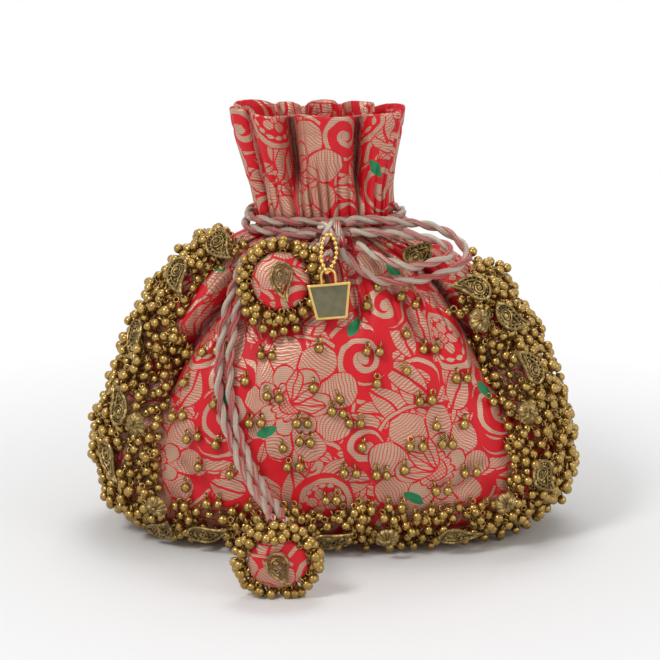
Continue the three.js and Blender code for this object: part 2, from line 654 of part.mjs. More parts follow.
function addTassel(name) {
  const tassel = new THREE.Group();
  addPiece(`${name}_pad`, padGeometry(), brocade, tassel);
  addPiece(`${name}_bells`, bellRingGeometry(), brass, tassel);
  const scale = TASSEL_MOTIF_SCALE;
  const plate = paisleyGeometry(PAISLEY_LENGTH * scale, PAISLEY_WIDTH * scale);
  const motif = addPiece(`${name}_motif`, plate, darkBrass, tassel);
  motif.position.z = PAD_THICKNESS + CLEARANCE;
  bag.add(tassel);
  return tassel;
}

// The long tassel stands on the table in front; the short one lies on the slope of the front panel
const shortTassel = addTassel('short_tassel');
const shortSeat = frontSeat(SHORT_TASSEL_EDGE - ringRadius, SHORT_TASSEL_TOP - ringRadius, SHORT_TASSEL_LIFT);
shortTassel.position.copy(shortSeat.point);
shortTassel.quaternion.copy(shortSeat.quaternion);
shortTassel.rotateY(THREE.MathUtils.degToRad(SHORT_TASSEL_TURN));
shortTassel.rotateX(THREE.MathUtils.degToRad(SHORT_TASSEL_LEAN));
const longCords = [LONG_CORD_LEFT, LONG_CORD_RIGHT].map((route) => toSolid(cordGeometry(route)));
settle(shortTassel, shortSeat.outwards.clone().negate(), [...grounds, ...longCords]);

const longTassel = addTassel('long_tassel');
const tilt = THREE.MathUtils.degToRad(LONG_TASSEL_TILT);
const stand = ringRadius * Math.cos(tilt) + (PAD_THICKNESS * 0.1 + BELL_RING_THICKNESS) * Math.sin(tilt);
longTassel.rotation.x = Math.PI / 2 + tilt;
longTassel.position.set(LONG_TASSEL_ACROSS, LONG_TASSEL_FORWARD, stand);

const pendant = new THREE.Group();
bag.add(pendant);
addPiece('ball_chain', chainGeometry(), polishedBrass, pendant);
const charm = addPiece('charm', charmGeometry(), polishedBrass, pendant);
charm.position.copy(CHARM_PLACE);
charm.rotation.y = THREE.MathUtils.degToRad(CHARM_TURN);
const pendantRests = ['knot', 'short_tassel_pad', 'short_tassel_bells'].map((name) => {
  const mesh = bag.getObjectByName(name);
  mesh.updateWorldMatrix(true, false);
  return toSolid(mesh.geometry.clone().applyMatrix4(mesh.matrixWorld));
});
settle(pendant, new THREE.Vector3(0, 1, 0), pendantRests);

export default bag;
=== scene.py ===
import math
import random

import bmesh
import bpy
import numpy as np
from mathutils import Matrix, Vector, noise


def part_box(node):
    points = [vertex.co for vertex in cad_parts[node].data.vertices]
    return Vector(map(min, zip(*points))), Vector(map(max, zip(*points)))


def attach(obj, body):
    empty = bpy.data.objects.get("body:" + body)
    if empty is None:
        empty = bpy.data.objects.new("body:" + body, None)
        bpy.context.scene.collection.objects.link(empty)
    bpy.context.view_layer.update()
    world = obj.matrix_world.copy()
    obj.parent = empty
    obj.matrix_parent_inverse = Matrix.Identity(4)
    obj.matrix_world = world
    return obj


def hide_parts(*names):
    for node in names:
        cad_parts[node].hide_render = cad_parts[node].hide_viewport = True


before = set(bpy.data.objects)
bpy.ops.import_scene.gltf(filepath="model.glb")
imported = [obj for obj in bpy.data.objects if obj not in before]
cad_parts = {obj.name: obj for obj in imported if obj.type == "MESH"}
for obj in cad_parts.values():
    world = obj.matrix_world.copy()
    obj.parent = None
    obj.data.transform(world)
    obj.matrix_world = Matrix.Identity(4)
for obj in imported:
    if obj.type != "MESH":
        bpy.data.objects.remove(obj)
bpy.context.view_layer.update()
MM = 0.001

# Camera, floor and lamps.
# A long lens a little above the bag, a pale floor that keeps the bag's shadow, and three soft panels
# with a pale world all round.
LOOK_AT = Vector((-1.84, 0, 93.5)) * MM
CAMERA_DISTANCE = 1150 * MM
CAMERA_RISE = math.radians(14.5)
PICTURE = 660
FOCAL_PIXELS = 2500
SENSOR = 36

camera_data = bpy.data.cameras.new("camera")
camera_data.lens = SENSOR * FOCAL_PIXELS / PICTURE
camera_data.sensor_width = SENSOR
camera_data.clip_start = 0.05
camera = bpy.data.objects.new("camera", camera_data)
bpy.context.scene.collection.objects.link(camera)
camera.location = LOOK_AT + CAMERA_DISTANCE * Vector((0, -math.cos(CAMERA_RISE), math.sin(CAMERA_RISE)))
camera.rotation_euler = (math.pi / 2 - CAMERA_RISE, 0, 0)
bpy.context.scene.camera = camera
bpy.context.scene.view_settings.view_transform = "Standard"


class Wire:
    """A value that runs through a material's nodes; Python's operators add Math nodes."""

    def __init__(self, finish, socket):
        self.finish = finish
        self.socket = socket

    def math(self, operation, *others):
        settings = {"operation": operation}
        return self.finish.node("ShaderNodeMath", settings, [self, *others])

    def __add__(self, other):
        return self.math("ADD", other)

    def __sub__(self, other):
        return self.math("SUBTRACT", other)

    def __mul__(self, other):
        return self.math("MULTIPLY", other)

    def __truediv__(self, other):
        return self.math("DIVIDE", other)

    def __lt__(self, other):
        return self.math("LESS_THAN", other)

    def __gt__(self, other):
        return self.math("GREATER_THAN", other)

    def __rsub__(self, other):
        return self.finish.node("ShaderNodeMath", {"operation": "SUBTRACT"}, [other, self])

    def __rtruediv__(self, other):
        return self.finish.node("ShaderNodeMath", {"operation": "DIVIDE"}, [other, self])

    __radd__ = __add__
    __rmul__ = __mul__


class Finish:
    """A material that is written as expressions."""

    def __init__(self, name):
        self.material = bpy.data.materials.new(name)
        self.material.use_nodes = True
        self.tree = self.material.node_tree
        self.tree.nodes.clear()

    def node(self, kind, settings, values, output=0):
        made = self.tree.nodes.new(kind)
        for key, value in settings.items():
            if key == "stops":
                ramp = made.color_ramp.elements
                while len(ramp) < len(value):
                    ramp.new(0.5)
                for stop, (place, colour) in zip(ramp, value):
                    stop.position = place
                    stop.color = (*colour, 1)
            else:
                setattr(made, key, value)
        pairs = values.items() if isinstance(values, dict) else enumerate(values)
        for key, value in pairs:
            socket = made.inputs[key]
            if isinstance(value, Wire):
                self.tree.links.new(value.socket, socket)
            elif socket.type == "RGBA":
                socket.default_value = (*value, 1)
            else:
                socket.default_value = value
        return Wire(self, made.outputs[output]) if made.outputs else None

    def mix(self, share, first, second):
        """A colour between two colours."""
        made = self.tree.nodes.new("ShaderNodeMix")
        made.data_type = "RGBA"
        for name, value in (("Factor_Float", share), ("A_Color", first), ("B_Color", second)):
            socket = next(s for s in made.inputs if s.identifier == name)
            if isinstance(value, Wire):
                self.tree.links.new(value.socket, socket)
            else:
                socket.default_value = (*value, 1) if socket.type == "RGBA" else value
        return Wire(self, next(s for s in made.outputs if s.identifier == "Result_Color"))

    def noise(self, place, scale, detail=2, rough=0.5):
        values = {"Vector": place, "Scale": scale, "Detail": detail, "Roughness": rough}
        return self.node("ShaderNodeTexNoise", {}, values)

    def bump(self, height, distance, strength=1):
        values = {"Height": height, "Distance": distance, "Strength": strength}
        return self.node("ShaderNodeBump", {}, values)

    def surface(self, **values):
        named = {key.replace("_", " "): value for key, value in values.items()}
        shader = self.node("ShaderNodeBsdfPrincipled", {}, named)
        self.node("ShaderNodeOutputMaterial", {}, {"Surface": shader})
        return self.material


def put_on(piece, material):
    piece.data.materials.clear()
    piece.data.materials.append(material)


def mesh_from(name, shape):
    """A finished bmesh as a mesh."""
    mesh = bpy.data.meshes.new(name)
    shape.to_mesh(mesh)
    shape.free()
    return mesh


def piece_from(name, mesh):
    piece = bpy.data.objects.new(name, mesh)
    bpy.context.scene.collection.objects.link(piece)
    return piece


def fitted(piece, node=None, body="bag"):
    """Rides a piece on its body and stands it for its node, whose solid it hides."""
    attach(piece, body)
    if node:
        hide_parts(node)


# floor: white to the camera where the bag's shadow doesn't reach
shape = bmesh.new()
bmesh.ops.create_grid(shape, x_segments=1, y_segments=1, size=6)
floor = piece_from("floor", mesh_from("floor", shape))

paper = Finish("floor_paper")
where = paper.node("ShaderNodeTexCoord", {}, {}, 3)
away = paper.node("ShaderNodeVectorMath", {"operation": "LENGTH"}, [where], 1)
far = paper.node("ShaderNodeMapRange", {}, {"Value": away, "From Min": 0.10, "From Max": 0.34})
seen = paper.node("ShaderNodeLightPath", {}, {})
path = seen.socket.node
seen_at_all = Wire(paper, path.outputs["Is Camera Ray"])
for ray in ("Is Glossy Ray", "Is Transmission Ray"):
    seen_at_all = seen_at_all.math("MAXIMUM", Wire(paper, path.outputs[ray]))
plain = paper.node("ShaderNodeBsdfDiffuse", {}, {"Color": (0.93, 0.93, 0.93)})
white = paper.node("ShaderNodeEmission", {}, {"Color": (1, 1, 1), "Strength": 1.0})
both = paper.node("ShaderNodeMixShader", {}, [far * seen_at_all, plain, white])
paper.node("ShaderNodeOutputMaterial", {}, {"Surface": both})
put_on(floor, paper.material)

WORLD_LIGHT = 0.42
WORLD_SHOWN = 1.0
world = bpy.data.worlds.new("studio")
world.use_nodes = True
bpy.context.scene.world = world
sky = world.node_tree
sky.nodes.clear()
rays = sky.nodes.new("ShaderNodeLightPath")
shown_to = rays.outputs["Is Camera Ray"]
for ray in ("Is Glossy Ray", "Is Transmission Ray"):
    either = sky.nodes.new("ShaderNodeMath")
    either.operation = "MAXIMUM"
    sky.links.new(shown_to, either.inputs[0])
    sky.links.new(rays.outputs[ray], either.inputs[1])
    shown_to = either.outputs[0]
level = sky.nodes.new("ShaderNodeMix")
level.inputs[2].default_value = WORLD_LIGHT
level.inputs[3].default_value = WORLD_SHOWN
sky.links.new(shown_to, level.inputs[0])
background = sky.nodes.new("ShaderNodeBackground")
background.inputs["Color"].default_value = (1, 1, 1, 1)
sky.links.new(level.outputs[0], background.inputs["Strength"])
sky_out = sky.nodes.new("ShaderNodeOutputWorld")
sky.links.new(background.outputs[0], sky_out.inputs["Surface"])


def lamp(name, place, size, power):
    data = bpy.data.lights.new(name, "AREA")
    data.shape = "DISK"
    data.size = size
    data.energy = power
    made = bpy.data.objects.new(name, data)
    bpy.context.scene.collection.objects.link(made)
    made.location = place
    made.rotation_euler = (Vector((0, 0, 0.1)) - Vector(place)).to_track_quat("-Z", "Y").to_euler()


lamp("key", (-0.9, -1.1, 1.5), 0.55, 15)
lamp("fill", (1.3, -1.0, 0.8), 1.0, 4.5)
lamp("top", (0.1, 0.5, 1.7), 0.9, 7)

# Drawcord, handle loops and tassel cords.
# A rope about 4.3 mm thick of two plies. Each ply is a bundle of silver-beige metallic threads with
# some red ones, laid up by twisting. The routes are those of the solids.
CORD_DIAMETER = 4.3 * MM
CORD_TWIST = 18 * MM
PLY_RADIUS = 0.285 * CORD_DIAMETER
PLIES = 2
PLY_REACH = CORD_DIAMETER / 2 - PLY_RADIUS
ROPE_STEP = 0.9 * MM


def smooth_route(points, step, closed=False):
    """A route through given points in millimetres, resampled at an even step in metres."""
    corner = [Vector(p) * MM for p in points]
    if closed:
        padded = [corner[-1], *corner, corner[0], corner[1]]
    else:
        padded = [2 * corner[0] - corner[1], *corner, 2 * corner[-1] - corner[-2]]
    fine = []
    for a, b, c, d in zip(padded, padded[1:], padded[2:], padded[3:]):
        for i in range(24):
            t = i / 24
            fine.append(0.5 * (2 * b + t * (c - a) + t * t * (2 * a - 5 * b + 4 * c - d)
                               + t ** 3 * (3 * b - a - 3 * c + d)))
    fine.append(padded[-2].copy())
    fine = np.array(fine)
    run = np.concatenate([[0], np.cumsum(np.linalg.norm(np.diff(fine, axis=0), axis=1))])
    count = max(2, round(run[-1] / step))
    even = np.linspace(0, run[-1], count + 1)
    return np.stack([np.interp(even, run, fine[:, k]) for k in range(3)], axis=1)


def side_frames(route):
    """For each point of a route, two directions square to it that turn as little as they can."""
    ahead = np.gradient(route, axis=0)
    ahead /= np.linalg.norm(ahead, axis=1)[:, None]
    side = np.cross(ahead[0], (0.3, 0.2, 1.0))
    sides = []
    for forward in ahead:
        side = side - forward * np.dot(side, forward)
        side = side / np.linalg.norm(side)
        sides.append(side)
    sides = np.array(sides)
    return sides, np.cross(ahead, sides)


def tube_mesh(line, radius, resolution, closed=False):
    """A round tube along a line of points, with its texture coordinates round and along."""
    curve = bpy.data.curves.new("tube", "CURVE")
    curve.dimensions = "3D"
    curve.bevel_depth = radius
    curve.bevel_resolution = resolution
    curve.use_fill_caps = not closed
    spline = curve.splines.new("POLY")
    spline.points.add(len(line) - 1)
    spline.points.foreach_set("co", np.column_stack([line, np.ones(len(line))]).ravel())
    spline.use_cyclic_u = closed
    holder = bpy.data.objects.new("tube", curve)
    bpy.context.scene.collection.objects.link(holder)
    view = bpy.context.evaluated_depsgraph_get()
    mesh = bpy.data.meshes.new_from_object(holder.evaluated_get(view))
    bpy.data.objects.remove(holder)
    bpy.data.curves.remove(curve)
    return mesh


def joined(name, meshes):
    """One object of several meshes, smooth all over."""
    whole = bmesh.new()
    for mesh in meshes:
        whole.from_mesh(mesh)
        bpy.data.meshes.remove(mesh)
    data = mesh_from(name, whole)
    data.shade_smooth()
    return piece_from(name, data)


def rope(name, route, start_turn=0.0):
    """Plies twisted round each other along a route."""
    first, second = side_frames(route)
    run = np.concatenate([[0], np.cumsum(np.linalg.norm(np.diff(route, axis=0), axis=1))])
    plies = []
    for ply in range(PLIES):
        turn = start_turn + 2 * math.pi * (ply / PLIES + run / CORD_TWIST)
        line = route + PLY_REACH * (np.cos(turn)[:, None] * first + np.sin(turn)[:, None] * second)
        mesh = tube_mesh(line, PLY_RADIUS, 2)
        layer = mesh.uv_layers[0].data
        coordinates = np.zeros(len(layer) * 2, np.float32)
        layer.foreach_get("uv", coordinates)
        coordinates = coordinates.reshape(-1, 2)
        coordinates[:, 0] = coordinates[:, 0] + 2 * ply
        coordinates[:, 1] *= run[-1] / MM
        layer.foreach_set("uv", coordinates.ravel())
        plies.append(mesh)
    return joined(name, plies)


zari = Finish("zari_cord")
layout = zari.node("ShaderNodeUVMap", {"uv_map": "UVMap"}, {})
split = zari.node("ShaderNodeSeparateXYZ", {}, [layout])
around = split
along = Wire(zari, split.socket.node.outputs[1])
thread = (around * 5 + along * 0.5).math("FRACT")
thread_height = (thread * (1 - thread) * 4).math("POWER", 0.6)
thread_number = (around * 5 + along * 0.5).math("FLOOR")
spot = zari.node("ShaderNodeCombineXYZ", {}, [thread_number * 3.7, along * 0.1, 0.0])
shade = zari.noise(spot, 1.3, 2, 0.6)
red_ply = around < 1.5
red_limits = {"Value": shade + red_ply * 0.12, "From Min": 0.58, "From Max": 0.59}
red_share = zari.node("ShaderNodeMapRange", {}, red_limits)
glint = zari.noise(zari.node("ShaderNodeCombineXYZ", {}, [around * 40, along * 3, 0.0]), 1.0, 2)
silver = zari.mix(glint, (0.42, 0.34, 0.24), (1.0, 0.94, 0.80))
thread_colour = zari.mix(red_share, silver, (0.60, 0.012, 0.03))
# painted shade: the grooves between the threads are painted dark brown, where shade falls between them
thread_colour = zari.mix((1 - thread_height) * 0.8, thread_colour, (0.14, 0.09, 0.06))
cord_finish = zari.surface(
    Base_Color=thread_colour,
    Metallic=(1 - red_share) * 0.35,
    Roughness=glint * 0.3 + 0.32,
    Normal=zari.bump(thread_height + glint * 0.4, 0.12 * MM, 0.8),
)

OUTER_LOOP = [
    (5, -28, 149.6), (10.6, -27, 151.2), (19.5, -25, 150.4), (30.3, -21.6, 148.8), (42.1, -17.4, 146.4),
    (51.2, -16.6, 142.7), (57.4, -19.4, 138), (59.4, -24.5, 133.7), (54.7, -30, 130), (44.7, -35, 127.3),
    (32.7, -38, 125.5), (20.7, -37.6, 125.9), (12.6, -35.4, 129.6), (7, -33, 134), (3.2, -31, 138.6),
]
INNER_LOOP = [
    (7.2, -31.2, 146.2), (12.4, -30.4, 146), (20.3, -28.6, 145.2), (30.2, -25.4, 144), (40.2, -23, 142),
    (47.6, -23.4, 139.8), (51.6, -26, 137.4), (50.6, -29.6, 135), (44, -33, 133), (34, -36, 131.8),
    (23.8, -36.4, 134.4), (15.8, -35, 138), (9.8, -33, 141),
]
LONG_CORD_LEFT = [
    (-8, -29, 144.6), (-16.5, -28.4, 144), (-25.5, -27.6, 142.2), (-34.4, -27.2, 137.6), (-40.9, -29.6, 130.8),
    (-45.2, -33, 121), (-48, -36, 112), (-49.9, -39.5, 101.5), (-51.1, -42.7, 90.6), (-51.1, -46.3, 77.7),
    (-48.9, -50.2, 65), (-45.6, -55.2, 57.5), (-42.6, -61.5, 51), (-38.6, -70, 45.4), (-33.6, -82, 41),
    (-29.2, -93, 39), (-26.6, -104.8, 37.6),
]
LONG_CORD_RIGHT = [
    (-7.4, -29.6, 140), (-15.5, -29.6, 139.4), (-22.4, -29.6, 138), (-30.4, -29.4, 134), (-36.2, -31.2, 127.4),
    (-40.4, -34.2, 119.5), (-43.2, -37, 111.5), (-45.1, -40.5, 101.5), (-46.3, -43.5, 90.8), (-46.3, -47, 78),
    (-44.1, -50.8, 65), (-40.8, -55.6, 57.5), (-37.8, -61.8, 51), (-33.8, -70, 45.4), (-28.8, -82, 41),
    (-24.4, -93, 39), (-21.8, -104.8, 37.6),
]


def laid_cord(name, points, node, start_turn, closed=False):
    route = smooth_route(points, ROPE_STEP, closed)
    piece = rope(name, route, start_turn)
    put_on(piece, cord_finish)
    fitted(piece, node)
    return piece, [tuple(p) for p in route]


outer_loop, outer_route = laid_cord("cord_handle_outer", OUTER_LOOP, "handle_loop_outer", 0.3)
inner_loop, inner_route = laid_cord("cord_handle_inner", INNER_LOOP, "handle_loop_inner", 1.4)
left_cord, left_route = laid_cord("cord_long_tassel_left", LONG_CORD_LEFT, "long_tassel_cord_left", 0.0)
right_cord, right_route = laid_cord("cord_long_tassel_right", LONG_CORD_RIGHT, "long_tassel_cord_right", 2.0)

# Brocade bag: front panel, back panel and gusset.
# A soft satin brocade with woven metallic flowers, cut as two panels and one long gusset strip and
# sewn with turned seams. The drawcord gathers it, so folds run down from the neck and the top
# stands up as a full ruffle with a turned hem.
CLOTH_OUTLINE = [
    (6, 83, 38, 0, 64), (10.9, 90.6, 43.4, 0, 71.6), (16.6, 97.4, 48.3, 0, 78.4), (25.8, 101.8, 51.6, 0, 82.8),
    (37.5, 103.9, 53.3, 0, 84.9), (52.1, 102.7, 52.8, 0, 84), (69.9, 97, 49.3, 0.1, 80.3),
    (86.8, 90, 44.9, -0.1, 76.3), (103, 81.9, 39.8, -0.5, 71.6), (116.6, 72.3, 34.5, -1.3, 64.5),
    (126, 61.6, 30, -2.2, 55.2), (133.4, 50.4, 25.6, -3.1, 44.8), (137.9, 40.7, 21.8, -3.6, 35.5),
    (141.5, 32.5, 18.6, -3.9, 27.4), (144.9, 30.4, 17.7, -4, 25.4), (148.1, 30.7, 17.8, -4, 25.7),
    (152.5, 31.5, 18.3, -4.2, 26.4), (158.8, 33.2, 19.6, -4.9, 28.2), (167.3, 34.9, 20.8, -5.7, 29.9),
    (182.1, 36.5, 22, -6.4, 31.5), (198, 38, 23, -7, 33),
]
OVAL_EXPONENT = 2.35
NECK = 146.5
RIM = 198.0
BELLY = 43.0
CLOTH_THICKNESS = 1.1
FRONT_COLUMNS = 228
SIDE_COLUMNS = 66
BACK_COLUMNS = 200
COLUMNS = FRONT_COLUMNS + 2 * SIDE_COLUMNS + BACK_COLUMNS
PANEL_BOTTOM = 19.0


def smooth_step(low, high, value):
    t = np.clip((value - low) / (high - low), 0, 1)
    return t * t * (3 - 2 * t)


def outline_at(level):
    """Half width, half depth, lean and seam half-width of the plain bag at a level."""
    table = np.array(CLOTH_OUTLINE)
    return [np.interp(level, table[:, 0], table[:, k]) for k in (1, 2, 3, 4)]


def plain_row(level):
    """Points round the plain bag at a level, from the left front seam round by the right."""
    wide, deep, lean, seam = outline_at(level)
    turn = np.linspace(0, 2 * math.pi, 2881)
    c, s = np.cos(turn), np.sin(turn)
    x = wide * np.sign(c) * np.abs(c) ** (2 / OVAL_EXPONENT)
    y = deep * np.sign(s) * np.abs(s) ** (2 / OVAL_EXPONENT)
    run = np.concatenate([[0], np.cumsum(np.hypot(np.diff(x), np.diff(y)))])
    seam_turn = math.acos((seam / wide) ** (OVAL_EXPONENT / 2))
    marks = [math.pi + seam_turn, 2 * math.pi - seam_turn, 2 * math.pi + seam_turn, 3 * math.pi - seam_turn,
             3 * math.pi + seam_turn]
    whole = run[-1]
    places = [np.interp(m % (2 * math.pi), turn, run) + whole * (m // (2 * math.pi)) for m in marks]
    counts = (FRONT_COLUMNS, SIDE_COLUMNS, BACK_COLUMNS, SIDE_COLUMNS)
    along = np.concatenate([np.linspace(a, b, n, endpoint=False)
                            for a, b, n in zip(places, places[1:], counts)])
    along = along % whole
    points = np.stack([np.interp(along, run, x) + lean, np.interp(along, run, y)], axis=1)
    return points, whole


def column_near(level, x, front=True):
    """The column that passes nearest to x at a level, on the front or the back."""
    points, _ = plain_row(level)
    side = points[:, 1] < 0 if front else points[:, 1] > 0
    return int(np.argmin(np.where(side, np.abs(points[:, 0] - x), 1e6)))


def away(columns, place):
    """Signed distance in columns from a place, round the bag."""
    return (columns - place + COLUMNS / 2) % COLUMNS - COLUMNS / 2


lower_rows = np.array([6, 6.8, 8.4, 10.6, 13.2, 16, 19])
body_rows = np.linspace(21.2, 118, 46)
neck_rows = np.linspace(119.4, 156, 34)
ruffle_rows = np.linspace(157.4, RIM, 32)
levels = np.concatenate([lower_rows, body_rows, neck_rows, ruffle_rows])
columns = np.arange(COLUMNS)

# where the deep folds are: column, depth in the ruffle, half width in millimetres, depth on the
# shoulder, and the level at which the fold has died out
deep_folds = []
for x, depth, width, shoulder, ends in (
        (-20.5, 20, 4.4, 5.2, 70), (13.5, 18, 4.0, 4.8, 66), (-37, 9, 3.5, 5.5, 52), (29.5, 7, 3.0, 5.2, 58)):
    deep_folds.append((column_near(182, x), depth, width, shoulder, ends))
for x, depth, width, shoulder, ends in (
        (-28, 12, 3.6, 4.8, 64), (-12, 17, 4.0, 4.6, 78), (5, 14, 3.4, 4.8, 62), (20, 15, 3.8, 4.6, 74)):
    deep_folds.append((column_near(182, x, front=False), depth, width, shoulder, ends))
deep_folds.append((FRONT_COLUMNS + 30, 8, 3.2, 3.6, 74))
deep_folds.append((COLUMNS - 38, 9, 3.2, 3.6, 78))

# the small pleats: uneven widths, about 5 mm each at the neck
chance = random.Random(11)
pleat_edges = [0.0]
while pleat_edges[-1] < 1:
    pleat_edges.append(pleat_edges[-1] + chance.uniform(0.021, 0.041))
pleat_edges = np.array(pleat_edges) / pleat_edges[-1]
pleat_number = np.interp(columns / COLUMNS, pleat_edges, np.arange(len(pleat_edges)))
pleat_depth = np.array([chance.uniform(0.65, 1.2) for _ in pleat_edges])
pleat_end = np.array([chance.uniform(80, 112) for _ in pleat_edges])
pleat_end[-1] = pleat_end[0]
pleat_depth[-1] = pleat_depth[0]

# the creases across the shoulders, as the front shows them: points (x, z), depth, half width
front_creases = [
    ([(-38, 130), (-43, 122), (-59, 103), (-73, 86), (-78, 72), (-81, 58)], 13.0, 4.8),
    ([(-46, 129), (-62, 110), (-77, 94), (-86, 80)], -6.5, 5.5),
    ([(-27, 130), (-38, 112), (-49, 97), (-57, 84)], 8.0, 3.8),
    ([(-31, 124), (-46, 106), (-62, 88), (-70, 66)], -4.5, 5.5),
    ([(-12, 129), (-17, 112), (-24, 98)], 6.0, 3.8),
    ([(7, 129), (11, 114), (9, 100)], 5.6, 3.6),
    ([(22, 129), (31, 115), (37, 102), (46, 88)], 7.0, 3.8),
    ([(38, 131), (50, 119), (62, 104), (73, 84), (81, 66), (86, 56)], 13.0, 4.8),
    ([(30, 128), (44, 112), (57, 92), (67, 70), (72, 52)], -5.0, 6.5),
    ([(60, 84), (66, 72), (73, 66)], 4.0, 3.2),
    ([(-72, 44), (-62, 34), (-46, 27)], 3.0, 5.0),
    ([(70, 44), (60, 34), (44, 27)], 2.6, 5.0),
]


def line_distance(x, z, line):
    """Distance to a line of points, and how far along it, from 0 to 1."""
    line = np.array(line, float)
    best = np.full(np.shape(x), 1e6)
    share = np.zeros(np.shape(x))
    count = len(line) - 1
    for i in range(count):
        a, b = line[i], line[i + 1]
        t = ((x - a[0]) * (b[0] - a[0]) + (z - a[1]) * (b[1] - a[1])) / np.dot(b - a, b - a)
        t = np.clip(t, 0, 1)
        d = np.hypot(x - a[0] - t * (b[0] - a[0]), z - a[1] - t * (b[1] - a[1]))
        share = np.where(d < best, (i + t) / count, share)
        best = np.minimum(best, d)
    return best, share


def cloth_row(level, inset=0.0):
    """Points of the folded cloth round one level, in millimetres, and how far each stands out."""
    row, whole = plain_row(level)
    ahead = np.roll(row, -1, 0) - np.roll(row, 1, 0)
    outward = np.stack([ahead[:, 1], -ahead[:, 0]], axis=1) / np.linalg.norm(ahead, axis=1)[:, None]
    reach = np.zeros(COLUMNS)
    millimetre = whole / COLUMNS
    up = smooth_step(NECK + 2, NECK + 26, level)
    for place, depth, width, shoulder, ends in deep_folds:
        drift = 5 * math.sin(0.06 * level + place) * smooth_step(NECK + 6, NECK + 24, level)
        d = np.abs(away(columns, place + drift)) * millimetre
        fall = smooth_step(ends, NECK - 20, level)
        if level < NECK:
            size = shoulder * fall + 0.6 * smooth_step(NECK - 12, NECK, level)
            spread = width * (1 + 1.6 * (1 - fall))
        else:
            size = shoulder * 0.9 * (1 - up) + depth * up
            spread = width
        reach = reach - size * np.exp(-d / spread) * (1 - 0.3 * np.exp(-d / 0.7))
    number = np.floor(pleat_number).astype(int)
    part = pleat_number - number
    girth = 3.2 + 1.0 * smooth_step(NECK, NECK - 16, level) - 1.0 * smooth_step(NECK - 22, NECK - 52, level)
    height = girth * pleat_depth[number] * (np.sqrt(np.clip(4 * part * (1 - part), 0, 1)) - 0.62)
    lasts = smooth_step(0, 1, (level - pleat_end[number]) / 26)
    rising = 1 - 0.8 * smooth_step(NECK + 10, NECK + 38, level)
    reach = reach + height * lasts * rising
    gathered = 2.2 * math.exp(-((level - NECK) / 11) ** 2) - 1.1 * math.exp(-((level - NECK) / 4) ** 2)
    flare = 4.2 * smooth_step(NECK + 8, RIM, level)
    reach = reach + gathered + flare - 0.5 * math.exp(-((level - 188.5) / 1.2) ** 2)
    if level < 138:
        for line, depth, width in front_creases:
            d, share = line_distance(row[:, 0], np.full(COLUMNS, level), line)
            fade = np.clip(np.minimum(share * 5 + 0.35, (1 - share) * 2.5), 0, 1)
            crease = depth * fade * np.exp(-(np.abs(d) / width) ** 1.15)
            reach = reach - np.where(row[:, 1] < 0, crease, 0)
            mirrored = line_distance(-row[:, 0] * 1.05 + 6, np.full(COLUMNS, level), line)
            back = 0.8 * depth * fade * np.exp(-(np.abs(mirrored[0]) / width) ** 1.35)
            reach = reach - np.where(row[:, 1] > 0, back, 0)
    for i, (x, y) in enumerate(row):
        soft = noise.noise(Vector((x * 0.021, y * 0.021 + 7.3, level * 0.024)))
        small = noise.noise(Vector((x * 0.07, y * 0.07, level * 0.05 + 3.1)))
        slack = (soft * 2.6 + small * 0.5) * smooth_step(10, 40, level)
        reach[i] += slack * (1 - 0.7 * smooth_step(120, 146, level))
    for seam in (0, FRONT_COLUMNS, FRONT_COLUMNS + SIDE_COLUMNS, COLUMNS - SIDE_COLUMNS):
        d = away(columns, seam)
        reach = reach - 0.9 * np.exp(-np.abs(d) / 1.2) + 0.35 * np.exp(-((np.abs(d) - 4) / 2.5) ** 2)
    reach = reach - inset
    return row + outward * reach[:, None], reach


def top_edge(reach):
    """How far the top edge stands above or below the rim's level, column by column."""
    ripple = np.array([noise.noise(Vector((math.cos(a) * 1.6, math.sin(a) * 1.6, 4.2)))
                       for a in 2 * math.pi * columns / COLUMNS])
    return 2.2 * ripple - 1.6 - 2.0 * np.clip(-reach / 12, 0, 1) ** 1.5


edge = top_edge(cloth_row(RIM)[1])


def cloth_points(level_list, inset=0.0, folds=None):
    """The folded cloth as an array of rows by columns by three, in millimetres."""
    sheet = []
    for level in level_list:
        points, reach = cloth_row(level, inset)
        if folds is not None:
            folds.append(reach)
        height = level + edge * np.clip((level - NECK - 5) / (RIM - NECK - 5), 0, 1) ** 1.5
        sheet.append(np.column_stack([points, height]))
    return np.array(sheet)


fold_reach = []
cloth = cloth_points(levels, folds=fold_reach)
hem_over = cloth_points([RIM], 0.5)[0] + (0, 0, 0.7)
hem_top = cloth_points([RIM], 1.1)[0] + (0, 0, 0.2)
hem_in = cloth_points([RIM - 3], 1.4)[0]
hem_low = cloth_points([RIM - 12], 1.4)[0]
cloth = np.concatenate([cloth, [hem_over, hem_top, hem_in, hem_low]])
ROWS = len(cloth)

# how deep in a fold each point lies, for the painted shade down there: the weave is painted darker and made
# less metallic
fold_reach = np.array(fold_reach)
around_it = np.zeros_like(fold_reach)
for shift in range(-16, 17, 2):
    around_it += np.roll(fold_reach, shift, axis=1) / 17
fold_depth = np.clip((around_it - fold_reach - 0.5) / 4.5, 0, 1)
fold_depth = np.concatenate([fold_depth, np.zeros((4, COLUMNS))])

